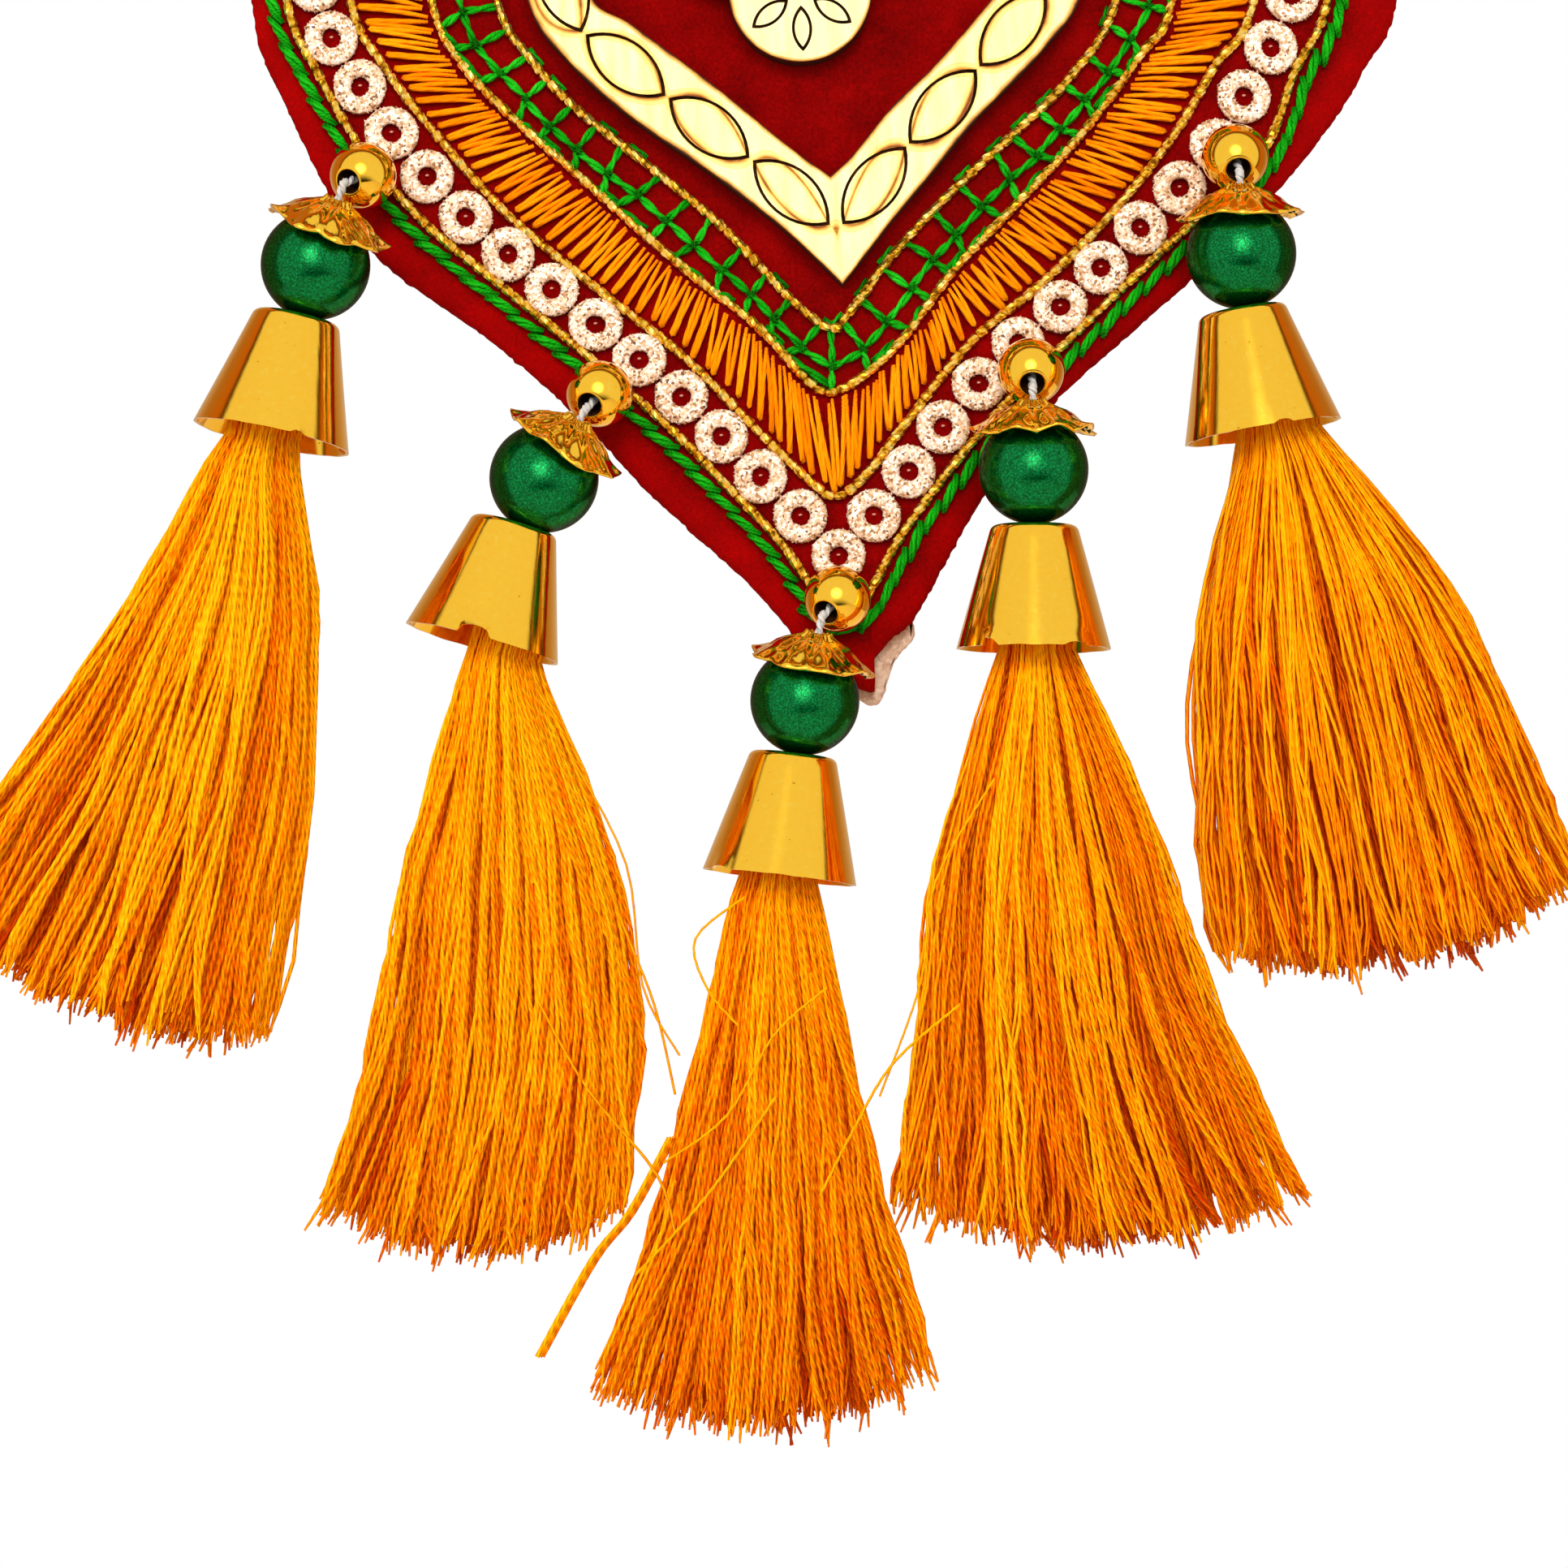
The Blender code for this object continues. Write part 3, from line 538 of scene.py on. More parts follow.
def plywoodMaterial():
    # Laser-cut basswood plywood: pale cream with faint grain, ambered beside the burn and black-brown on cut edges.
    # Its UV map holds millimetres: along the chain of eyes and across it, or the distance to the nearest edge.
    made, tree, shader = startMaterial("laserCutPlywood", "#FFF0B4", 0.55, Specular_IOR_Level=0.3)
    where = addNode(tree, "ShaderNodeTexCoord").outputs["Object"]
    stretched = addNode(tree, "ShaderNodeMapping", {"Scale": (900.0, 200.0, 90.0)}, {"Vector": where})
    grain = addNode(tree, "ShaderNodeTexNoise", {"Scale": 1.0, "Detail": 5.0, "Roughness": 0.65},
                    {"Vector": stretched.outputs[0]})
    stops = [(0.3, "#F0D68A"), (0.5, "#FAE8A6"), (0.7, "#FFF2BC")]
    pale = addNode(tree, "ShaderNodeValToRGB", {"stops": stops}, {"Fac": grain.outputs["Fac"]})
    smoke = addNode(tree, "ShaderNodeTexNoise", {"Scale": 420.0, "Detail": 3.0}, {"Vector": where})
    # Smoke stain round each engraved line
    marks = addNode(tree, "ShaderNodeUVMap", {"uv_map": "millimetres"})
    parts = addNode(tree, "ShaderNodeSeparateXYZ", links={"Vector": marks.outputs[0]})
    wrapped = addNode(tree, "ShaderNodeMath", {"operation": "PINGPONG", 1: eyePitch / 2}, {0: parts.outputs[0]})
    side = addNode(tree, "ShaderNodeMath", {"operation": "ABSOLUTE"}, {0: parts.outputs[1]})
    lower = addNode(tree, "ShaderNodeMath", {"operation": "ADD", 1: eyeRadius - eyes["halfWidth"]},
                    {0: side.outputs[0]})
    spot = addNode(tree, "ShaderNodeCombineXYZ", links={0: wrapped.outputs[0], 1: lower.outputs[0]})
    reach = addNode(tree, "ShaderNodeVectorMath", {"operation": "LENGTH"}, {0: spot.outputs[0]})
    apart = addNode(tree, "ShaderNodeMath", {"operation": "SUBTRACT", 1: eyeRadius}, {0: reach.outputs["Value"]})
    away = addNode(tree, "ShaderNodeMath", {"operation": "ABSOLUTE"}, {0: apart.outputs[0]})
    loose = addNode(tree, "ShaderNodeMath", {"operation": "MULTIPLY_ADD", 1: 0.5, 2: -0.25},
                    {0: smoke.outputs["Fac"]})
    fuzzy = addNode(tree, "ShaderNodeMath", {"operation": "ADD"}, {0: away.outputs[0], 1: loose.outputs[0]})
    stops = [(0.0, "#8A4A18"), (0.14, "#E0A85A"), (0.3, "#FFEBB4"), (0.5, "#FFF6D8"), (0.56, "#F6DCA0"),
             (0.62, "#FFFFFF")]
    stain = addNode(tree, "ShaderNodeValToRGB", {"stops": stops}, {"Fac": fuzzy.outputs[0]})
    stained = addNode(tree, "ShaderNodeMix", {"data_type": "RGBA", "blend_type": "MULTIPLY", "Factor": 1.0},
                      {6: pale.outputs[0], 7: stain.outputs[0]})
    # Scorch on the cut sides and along the arris
    scorch = addNode(tree, "ShaderNodeUVMap", {"uv_map": "edge"})
    near = addNode(tree, "ShaderNodeSeparateXYZ", links={"Vector": scorch.outputs[0]})
    rough = addNode(tree, "ShaderNodeMath", {"operation": "ADD"}, {0: near.outputs[0], 1: loose.outputs[0]})
    stops = [(0.0, "#2E1406"), (0.12, "#7A4416"), (0.3, "#E8B468"), (0.6, "#FFFFFF")]
    burn = addNode(tree, "ShaderNodeValToRGB", {"stops": stops}, {"Fac": rough.outputs[0]})
    whole = addNode(tree, "ShaderNodeMix", {"data_type": "RGBA", "blend_type": "MULTIPLY", "Factor": 1.0},
                    {6: stained.outputs[2], 7: burn.outputs[0]})
    bump = addNode(tree, "ShaderNodeBump", {"Strength": 0.2, "Distance": 0.0001}, {"Height": grain.outputs["Fac"]})
    tree.links.new(whole.outputs[2], shader.inputs["Base Color"])
    tree.links.new(bump.outputs[0], shader.inputs["Normal"])
    return made


def charAndShadeMaterial():
    # Wood burnt by the laser: matt black-brown. It also stands as painted shade inside the bead bores.
    made, tree, shader = startMaterial("laserCharAndBoreShade", "#2C1505", 0.9, Specular_IOR_Level=0.1)
    where = addNode(tree, "ShaderNodeTexCoord").outputs["Object"]
    soot = addNode(tree, "ShaderNodeTexNoise", {"Scale": 900.0, "Detail": 3.0}, {"Vector": where})
    stops = [(0.35, "#1C0C02"), (0.6, "#3A1C08"), (0.85, "#6A3A14")]
    colour = addNode(tree, "ShaderNodeValToRGB", {"stops": stops}, {"Fac": soot.outputs["Fac"]})
    tree.links.new(colour.outputs[0], shader.inputs["Base Color"])
    return made


def goldPlasticMaterial():
    # Vacuum-metallised polystyrene: a mirror, with moulding streaks and fine dust under the lacquer
    made, tree, shader = startMaterial("metallisedPlastic", "#FFC834", 0.1, 1.0, Coat_Weight=0.3, Coat_Roughness=0.06)
    where = addNode(tree, "ShaderNodeTexCoord").outputs["Object"]
    flow = addNode(tree, "ShaderNodeMapping", {"Scale": (1500.0, 1500.0, 110.0)}, {"Vector": where})
    streaks = addNode(tree, "ShaderNodeTexNoise", {"Scale": 1.0, "Detail": 3.0}, {"Vector": flow.outputs[0]})
    specks = addNode(tree, "ShaderNodeTexNoise", {"Scale": 1900.0, "Detail": 2.0, "Roughness": 0.7}, {"Vector": where})
    stops = [(0.22, "#8A4A06"), (0.28, "#FFC42C"), (0.6, "#FFC834"), (0.8, "#FFD450")]
    colour = addNode(tree, "ShaderNodeValToRGB", {"stops": stops}, {"Fac": specks.outputs["Fac"]})
    ripple = addNode(tree, "ShaderNodeTexNoise", {"Scale": 160.0, "Detail": 2.0}, {"Vector": where})
    mixed = addNode(tree, "ShaderNodeMix", {"data_type": "FLOAT", 0: 0.25},
                    {2: ripple.outputs["Fac"], 3: streaks.outputs["Fac"]})
    bump = addNode(tree, "ShaderNodeBump", {"Strength": 0.1, "Distance": 0.0003}, {"Height": mixed.outputs[0]})
    tree.links.new(colour.outputs[0], shader.inputs["Base Color"])
    tree.links.new(bump.outputs[0], shader.inputs["Normal"])
    return made


def pearlMaterial():
    # Imitation pearl: green pearl lacquer over plastic, so a soft sparkling light under a clear gloss
    made, tree, shader = startMaterial("greenPearlLacquer", "#006A30", 0.2, 0.92, Coat_Weight=0.15, Coat_Roughness=0.05,
                                       Specular_Tint=linear("#0C4A20"))
    where = addNode(tree, "ShaderNodeTexCoord").outputs["Object"]
    mica = addNode(tree, "ShaderNodeTexNoise", {"Scale": 6000.0, "Detail": 2.0}, {"Vector": where})
    stops = [(0.3, "#004A1E"), (0.5, "#006C30"), (0.75, "#04A452")]
    colour = addNode(tree, "ShaderNodeValToRGB", {"stops": stops}, {"Fac": mica.outputs["Fac"]})
    bump = addNode(tree, "ShaderNodeBump", {"Strength": 0.12, "Distance": 0.0001}, {"Height": mica.outputs["Fac"]})
    tree.links.new(colour.outputs[0], shader.inputs["Base Color"])
    tree.links.new(bump.outputs[0], shader.inputs["Normal"])
    return made


velvetFinish = velvetMaterial()
feltFinish = feltMaterial()
foilFinish = foilMaterial()
greenFinish = flossMaterial("greenFloss", [(0.0, "#2ED028"), (0.4, "#12A814"), (0.75, "#077808"), (1.0, "#034404")],
                            0.8, "#A0FF60")
orangeFinish = flossMaterial("orangeFloss", [(0.0, "#FF9C0A"), (0.4, "#FB8600"), (0.75, "#E86E00"),
                                             (1.0, "#B84600")], 1.6, "#FFC040")
tasselFinish = flossMaterial("rayonTassel", [(0.0, "#FFB80A"), (0.35, "#FB9400"), (0.65, "#E46800"),
                                            (1.0, "#C03800")], 1.2, "#FFC030", 0.16, 0.1, 2.8)
# Off-white cotton, greyed further as painted shade for the bore and the gap where the string shows
stringFinish = flossMaterial("cottonString", [(0.0, "#D2CEC8"), (0.5, "#B4AEA6"), (1.0, "#807A72")], 0.7, "#FFFFFF")
linkFinish = flossMaterial("pinkLink", [(0.0, "#F0C8B4"), (0.5, "#D89C86"), (1.0, "#A8604C")], 0.7, "#FFFFFF")
glitterFinish = glitterMaterial()
plywoodFinish = plywoodMaterial()
charAndShadeFinish = charAndShadeMaterial()
goldFinish = goldPlasticMaterial()
pearlFinish = pearlMaterial()
print("materials ready")

# Velvet panel: a slab with a cut, slightly ragged edge, drawn in where the trims are sewn
velvet = {"points": 900, "rings": 30, "teeth": 0.14, "toothSize": 0.55, "puff": 0.22, "puffReach": 2.6, "marginAt": 1.6}
cordLoops = [smoothLoop(line, 240) for line in cordLines]
edgeLoop = smoothLoop(edgeLine, velvet["points"])
sewnPoints = [point for loop in cordLoops for point in loop[::2]]


def velvetRise(x, z):
    nearest = min((x - px) ** 2 + (z - pz) ** 2 for px, pz in sewnPoints)
    puffed = min(math.sqrt(nearest) / velvet["puffReach"], 1.0)
    swell = puffed * puffed * (3 - 2 * puffed)
    soft = noise.noise(Vector((x / 7, 0.3, z / 7)))
    return layers["velvetFront"] + 0.02 + velvet["puff"] * (0.55 * swell + 0.3 * soft)


def makeVelvet():
    dice = random.Random("velvet edge")
    ragged = []
    for (x, z), (ox, oz) in zip(edgeLoop, offsetLoop(edgeLoop, 1.0)):
        bite = noise.noise(Vector((x / velvet["toothSize"], 0.0, z / velvet["toothSize"])))
        slow = noise.noise(Vector((x / 4, 5.0, z / 4)))
        out = velvet["teeth"] * (bite + 0.6 * slow + dice.uniform(-0.3, 0.3))
        ragged.append((x + (ox - x) * out, z + (oz - z) * out))
    middle = Vector((0.5, -60.0))
    bm = bmesh.new()
    marginLayer = bm.verts.layers.float.new("margin")

    def ring(loop, fronts, margin):
        made = []
        for point, front in zip(loop, fronts):
            vert = bm.verts.new(facePoint(point, front) * mm)
            vert[marginLayer] = margin
            made.append(vert)
        return made

    def drawnIn(loop, share):
        return [tuple(middle + (Vector(point) - middle) * share) for point in loop]

    def join(here, there):
        total = len(here)
        for index in range(total):
            ahead = (index + 1) % total
            bm.faces.new((here[index], here[ahead], there[ahead], there[index]))

    rear = ring(ragged, [layers["velvetBack"]] * len(ragged), 1.0)
    bm.faces.new(rear)
    crisp = ring(ragged, [layers["velvetFront"] - 0.35] * len(ragged), 1.0)
    join(rear, crisp)
    rounded = drawnIn(ragged, 0.996)
    shoulder = ring(rounded, [layers["velvetFront"] - 0.06] * len(ragged), 1.0)
    join(crisp, shoulder)
    coarse = edgeLoop[::3]
    outer = shoulder
    for step in range(velvet["rings"]):
        share = 0.985 * (1 - step / velvet["rings"]) ** 0.9
        loop = drawnIn(coarse, share)
        fronts = [velvetRise(*point) for point in loop]
        here = ring(loop, fronts, 1.0 if share > 0.93 else 0.0)
        if len(outer) == len(here):
            join(outer, here)
        else:
            for index, vert in enumerate(here):
                start = 3 * index
                ahead = here[(index + 1) % len(here)]
                fan = [outer[(start + k) % len(outer)] for k in range(4)]
                bm.faces.new((fan[0], fan[1], vert))
                bm.faces.new((fan[1], fan[2], ahead, vert))
                bm.faces.new((fan[2], fan[3], ahead))
        outer = here
    bm.faces.new(outer)
    bmesh.ops.triangulate(bm, faces=[face for face in bm.faces if len(face.verts) > 4])
    return addObject("velvetPanel", bm, velvetFinish)


velvetPanel = finishPiece(makeVelvet(), "red_velvet", "velvet_panel")
velvetPanel.data.set_sharp_from_angle(angle=math.radians(60))

# Backing sheet behind it, with the flap that shows at the tip
backing = {"points": 420, "inset": 1.2, "hairs": 0.12, "round": 0.2, "flapTop": -115.0, "flapSteps": 5}


def makeBacking():
    inset = offsetLoop(smoothLoop(edgeLine, backing["points"]), -backing["inset"])
    tipLeft, tipTop = backingTab[0]
    kept = [(x, z) for x, z in inset if z > (backing["flapTop"] if x > tipLeft else tipTop)]
    # The outline starts and ends at the tip, so the flap closes it there
    ends = [*kept[-2:], *backingTab, *kept[:2]]
    flap = []
    for before, start, end, after in zip(ends, ends[1:], ends[2:], ends[3:]):
        shares = [step / backing["flapSteps"] for step in range(backing["flapSteps"])]
        flap += [curveBetween(before, start, end, after, share) for share in shares]
    loop = kept[:-1] + flap
    hairy = []
    for (x, z), (ox, oz) in zip(loop, offsetLoop(loop, 1.0)):
        out = backing["hairs"] * noise.noise(Vector((x / 0.5, 9.0, z / 0.5)))
        hairy.append((x + (ox - x) * out, z + (oz - z) * out))
    bm = bmesh.new()
    rims = []
    soft = offsetLoop(hairy, -backing["round"])
    thick = layers["backing"]
    for outline, front in ((soft, 0.0), (hairy, backing["round"]), (hairy, thick - backing["round"]), (soft, thick)):
        rims.append([bm.verts.new(facePoint(point, front) * mm) for point in outline])
    for here, there in zip(rims, rims[1:]):
        for index in range(len(here)):
            ahead = (index + 1) % len(here)
            bm.faces.new((here[index], here[ahead], there[ahead], there[index]))
    bm.faces.new(rims[0])
    bm.faces.new(rims[-1])
    bmesh.ops.triangulate(bm, faces=[face for face in bm.faces if len(face.verts) > 4])
    return addObject("backingSheet", bm, feltFinish), loop


backingSheet, backingLoop = makeBacking()
backingSheet.data.set_sharp_from_angle(angle=math.radians(60))
finishPiece(backingSheet, "cream_felt", "backing_sheet")

# Gold cords: nipped lengths of foil thread, laid end to end
goldCord = {"radius": 0.47, "length": 1.22, "pitch": 1.12, "front": 3.38, "sides": 8}


def makeNip():
    half = goldCord["length"] / 2
    radius = goldCord["radius"]
    shares = [(0.0, -1.0), (0.42, -1.0), (0.8, -0.8), (1.0, -0.42), (0.9, 0.1), (1.0, 0.5), (0.8, 0.82),
              (0.4, 1.0), (0.0, 1.0)]
    bm = bmesh.new()
    rings = []
    for share, height in shares:
        if share == 0.0:
            rings.append([bm.verts.new((0.0, 0.0, height * half * mm))])
            continue
        ring = []
        for step in range(goldCord["sides"]):
            angle = math.tau * (step + 0.35 * height) / goldCord["sides"]
            spot = Vector((math.cos(angle) * radius * share, math.sin(angle) * radius * share, height * half))
            ring.append(bm.verts.new(spot * mm))
        rings.append(ring)
    for here, there in zip(rings, rings[1:]):
        for step in range(goldCord["sides"]):
            ahead = (step + 1) % goldCord["sides"]
            corners = [here[step % len(here)], here[ahead % len(here)], there[ahead % len(there)],
                       there[step % len(there)]]
            bm.faces.new(list(dict.fromkeys(corners)))
    return addObject("nip", bm, foilFinish, smooth=False)


nip = makeNip()
for number, loop in enumerate(cordLoops, start=1):
    path = pathObject(loop, goldCord["front"])
    cord = bake(f"goldCord{number}", path, repeatAlong, foilFinish, Pitch=goldCord["pitch"] * mm, Model=nip,
                Tilt=(0.14, 0.14, 3.1), Thinnest=(0.84, 0.84, 0.9), Thickest=(1.12, 1.12, 1.14), Seed=number)
    finishPiece(cord, "gold_thread", f"gold_cord_{number}")
bpy.data.objects.remove(nip)

# Stem stitch: slanting two-ply stitches, each starting beside the last
stem = {"offset": 1.35, "length": 3.5, "pitch": 2.75, "girth": 0.25, "away": 0.26, "front": 3.22, "slant": 0.2}


def makeStemStitch():
    half = stem["length"] / 2
    path = []
    for step in range(11):
        share = step / 5 - 1
        path.append(Vector((0.0, 0.34 * (1 - share * share) - 0.16, share * half)))
    strands = []
    for ply in (0.0, 0.12):
        strands += twisted(path, stem["away"], stem["girth"], 0.8, 0.4 + ply, phase=ply * 9, taper=0.25,
                           paintedEndShade=0.9)
    return sweep("stitch", strands, greenFinish)


stitch = makeStemStitch()
path = pathObject(offsetLoop(cordLoops[0], stem["offset"]), stem["front"])
stemStitch = bake("stemStitch", path, repeatAlong, greenFinish, Pitch=stem["pitch"] * mm, Model=stitch,
                  Slant=(0.0, stem["slant"], 0.0), Tilt=(0.04, 0.06, 0.3), Thinnest=(0.85, 0.85, 0.92),
                  Thickest=(1.1, 1.1, 1.1), Seed=5)
finishPiece(stemStitch, "green_thread", "stem_stitch")
bpy.data.objects.remove(stitch)

# Ring lace: foam rings covered in glitter, strung on a thread
lace = {"count": 58, "radius": 2.5, "hole": 0.88, "thick": 0.8, "sides": 28, "fine": 400, "density": 6.5e6,
        "flake": 0.19, "thread": 0.13}


def makeRings(centres):
    bm = bmesh.new()
    dice = random.Random("rings")
    thick = lace["thick"]
    middleRadius = (lace["radius"] + lace["hole"]) / 2
    halfWidth = (lace["radius"] - lace["hole"]) / 2
    section = [(math.copysign(abs(math.cos(a)) ** 0.6, math.cos(a)) * halfWidth,
                math.copysign(abs(math.sin(a)) ** 0.6, math.sin(a)) * thick / 2)
               for a in (math.tau * k / 10 for k in range(10))]
    for centre in centres:
        rings = []
        squash = dice.uniform(0.97, 1.03)
        lean = dice.uniform(0, math.tau)
        for step in range(lace["sides"]):
            angle = math.tau * step / lace["sides"]
            nub = 0.32 * max(0.0, 1 - abs(math.remainder(angle - math.radians(150), math.tau)) / 0.16)
            wobble = 1 + (squash - 1) * math.cos(2 * (angle - lean))
            ring = []
            for across, rise in section:
                reach = middleRadius * wobble + across + (nub if across > 0 else 0.0)
                spot = (centre[0] + reach * math.cos(angle), centre[1] + reach * math.sin(angle))
                front = layers["trimBack"] + thick / 2 + rise
                ring.append(bm.verts.new(facePoint(spot, front) * mm))
            rings.append(ring)
        for index, ring in enumerate(rings):
            following = rings[(index + 1) % len(rings)]
            for step in range(len(ring)):
                ahead = (step + 1) % len(ring)
                bm.faces.new((ring[step], ring[ahead], following[ahead], following[step]))
    return addObject("rings", bm, glitterFinish)


laceSides = [smoothLoop(line, lace["fine"]) for line in cordLines[:2]]
ringCentres = spreadEvenly(middleLoop(*laceSides), lace["count"])
ringLace = bake("ringLace", makeRings(ringCentres), glitterScatter, glitterFinish, Density=lace["density"],
                Flake=lace["flake"] * mm, Seed=3)
finishPiece(ringLace, "rose_glitter", "ring_lace")
links = []
for index, centre in enumerate(ringCentres):
    here = facePoint(centre, layers["trimBack"] + 0.25)
    there = facePoint(ringCentres[(index + 1) % len(ringCentres)], layers["trimBack"] + 0.25)
    path = [here.lerp(there, share) for share in (0.4, 0.45, 0.5, 0.55, 0.6)]
    links += twisted(path, 0.08, lace["thread"], 0.5, 0.4)
    knot = [here + Vector((dx, -0.1 + dx * dx, 0.12)) for dx in (-0.16, 0.0, 0.16)]
    links.append((knot, [0.06, 0.12, 0.06], 0.6))
finishPiece(sweep("laceLinks", links, linkFinish), "rose_glitter")

# Orange band: pairs of long zigzag stitches
band = {"clear": 0.75, "pitch": 1.34, "lean": 1.7, "girth": 0.235, "front": 3.1, "rise": 0.3, "tipWidth": 0.1,
        "steps": 6}


def makeBand():
    dice = random.Random("orange")
    outer = smoothLoop(cordLines[1], 800)
    inner = smoothLoop(cordLines[2], 800)
    count = round(loopLength(outer) / band["pitch"])
    strands = []

    def edgeSpot(loop, share, clear):
        total = len(loop)
        index = int(share * total) % total
        before = Vector(loop[index - 2])
        after = Vector(loop[(index + 2) % total])
        along = (after - before).normalized()
        return Vector(loop[index]) + Vector((along.y, -along.x)) * clear, along

    for index in range(count):
        share = (index + 0.5) / count
        lean = max(-1.0, min(1.0, 3 * math.sin(math.tau * share))) * band["lean"]
        tip, along = edgeSpot(outer, share, -band["clear"] - dice.uniform(-0.15, 0.35))
        tip += along * (lean * 0.5 + dice.uniform(-0.2, 0.2))
        route = []
        for limb in (-1, 1):
            inside, along = edgeSpot(inner, share + limb * dice.uniform(0.28, 0.38) / count, band["clear"] + dice.uniform(-0.15, 0.35))
            inside += along * (dice.uniform(-0.1, 0.1) - lean * 0.5)
            corner = tip + along * limb * band["tipWidth"] * dice.uniform(0.7, 1.3)
            leg = [inside.lerp(corner, step / band["steps"]) for step in range(band["steps"] + 1)]
            bow = (corner - inside).orthogonal().normalized() * dice.gauss(0, 0.07)
            leg = [spot + bow * math.sin(math.pi * step / band["steps"]) for step, spot in enumerate(leg)]
            route.append(leg)
        whole = route[0] + [tip - (route[0][0] - tip).normalized() * 0.12] + route[1][::-1]
        points = []
        girths = []
        for step, spot in enumerate(whole):
            part = 1 - abs(2 * step / (len(whole) - 1) - 1)
            rise = band["rise"] * math.sin(math.pi * min(max(part, 0.02), 0.9)) ** 0.5
            points.append(Vector((spot.x, -band["front"] - rise - 0.06 * dice.random(), spot.y)))
            girths.append(band["girth"] * (0.75 + 0.3 * min(part * 3, 1.0)) * dice.uniform(0.9, 1.1))
        tone = dice.uniform(0.05, 0.55)
        # Painted shade: both ends of each stitch get a deeper tone where they go into the cloth
        strands.append((points, girths, [tone + 0.25 * (step in (0, len(whole) - 1)) for step in range(len(whole))]))
    return sweep("orangeBand", strands, orangeFinish)


finishPiece(makeBand(), "orange_thread", "orange_band")

# Green lattice between the two inner cords: a row of crosses, tied at each knot
lattice = {"pitch": 3.42, "row": 0.4, "girth": 0.235, "away": 0.18, "front": 3.15, "rise": 0.3, "clear": 0.25}


def makeLattice():
    dice = random.Random("lattice")
    outer = smoothLoop(cordLines[2], 800)
    inner = smoothLoop(cordLines[3], 800)
    row = spreadEvenly(middleLoop(outer, inner, lattice["row"]), 900)
    count = round(loopLength(row) / lattice["pitch"])
    knots = spreadEvenly(row, count)
    strands = []

    def bar(start, end, tone, steps=7):
        path = []
        for step in range(steps + 1):
            share = step / steps
            flat = Vector(start).lerp(Vector(end), share)
            bow = lattice["rise"] * math.sin(math.pi * share) ** 0.7
            path.append(Vector((flat.x, -lattice["front"] - bow, flat.y)))
        phase = dice.uniform(0, math.tau)
        return twisted(path, lattice["away"], lattice["girth"], 0.75, tone, phase, taper=0.45, paintedEndShade=0.8)

    def nudged(point, size=0.14):
        return (point[0] + dice.uniform(-size, size), point[1] + dice.uniform(-size, size))

    def nearest(loop, point, ahead):
        index = min(range(len(loop)), key=lambda at: math.dist(loop[at], point))
        return loop[(index + ahead) % len(loop)]

    knots = [nudged(knot, 0.2) for knot in knots]
    for index, knot in enumerate(knots):
        following = knots[(index + 1) % count]
        strands += bar(nudged(knot), nudged(following), dice.uniform(0.2, 0.55))
        top = nearest(inner, knot, dice.choice((-2, 0, 2)))
        strands += bar(nudged(knot), nudged(top), dice.uniform(0.2, 0.55))
        foot = nearest(outer, knot, dice.choice((-3, 0, 3)))
        strands += bar(nudged(knot), nudged(foot, 0.1), dice.uniform(0.25, 0.6), 5)
        if index % 3:
            along = nearest(outer, following, -4)
            strands += bar(foot, nudged(tuple(Vector(along).lerp(Vector(following), 0.22))), 0.55, 5)
        # Loose slivers of thread beside the cords
        for loop, side, chance in ((inner, -0.55, 0.45), (outer, -0.6, 0.3)):
            if dice.random() < chance:
                near = min(range(len(loop)), key=lambda at: math.dist(loop[at], knot))
                sliver = offsetLoop([loop[(near + step) % len(loop)] for step in range(-1, 11)], side)[1:-1]
                path = [facePoint(point, lattice["front"] + 0.1) for point in sliver[::2]]
                strands += twisted(path, 0.1, 0.16, 0.5, dice.uniform(0.4, 0.8), taper=0.1, paintedEndShade=0.4)
        for turn in range(3):
            angle = math.pi * turn / 3 + dice.uniform(-0.3, 0.3)
            arm = Vector((math.cos(angle), 0.0, math.sin(angle))) * 0.42
            middle = facePoint(knot, lattice["front"] + 0.42)
            strands.append(([middle - arm, middle + Vector((0, -0.12, 0)), middle + arm], [0.1, 0.15, 0.1], 0.9))
    return sweep("greenLattice", strands, greenFinish)


finishPiece(makeLattice(), "green_thread")

# Plywood frame with its chain of engraved eyes
wood = {"points": 300, "across": 7, "arris": 0.12, "edgeFade": 0.6}
lotus = {"middle": (-1.6, -58.6), "foot": 6.6, "points": 360,
         "petals": [(90, 20.0, 19), (54, 17.5, 18), (126, 17.5, 18), (20, 14.0, 18), (160, 14.0, 18)]}


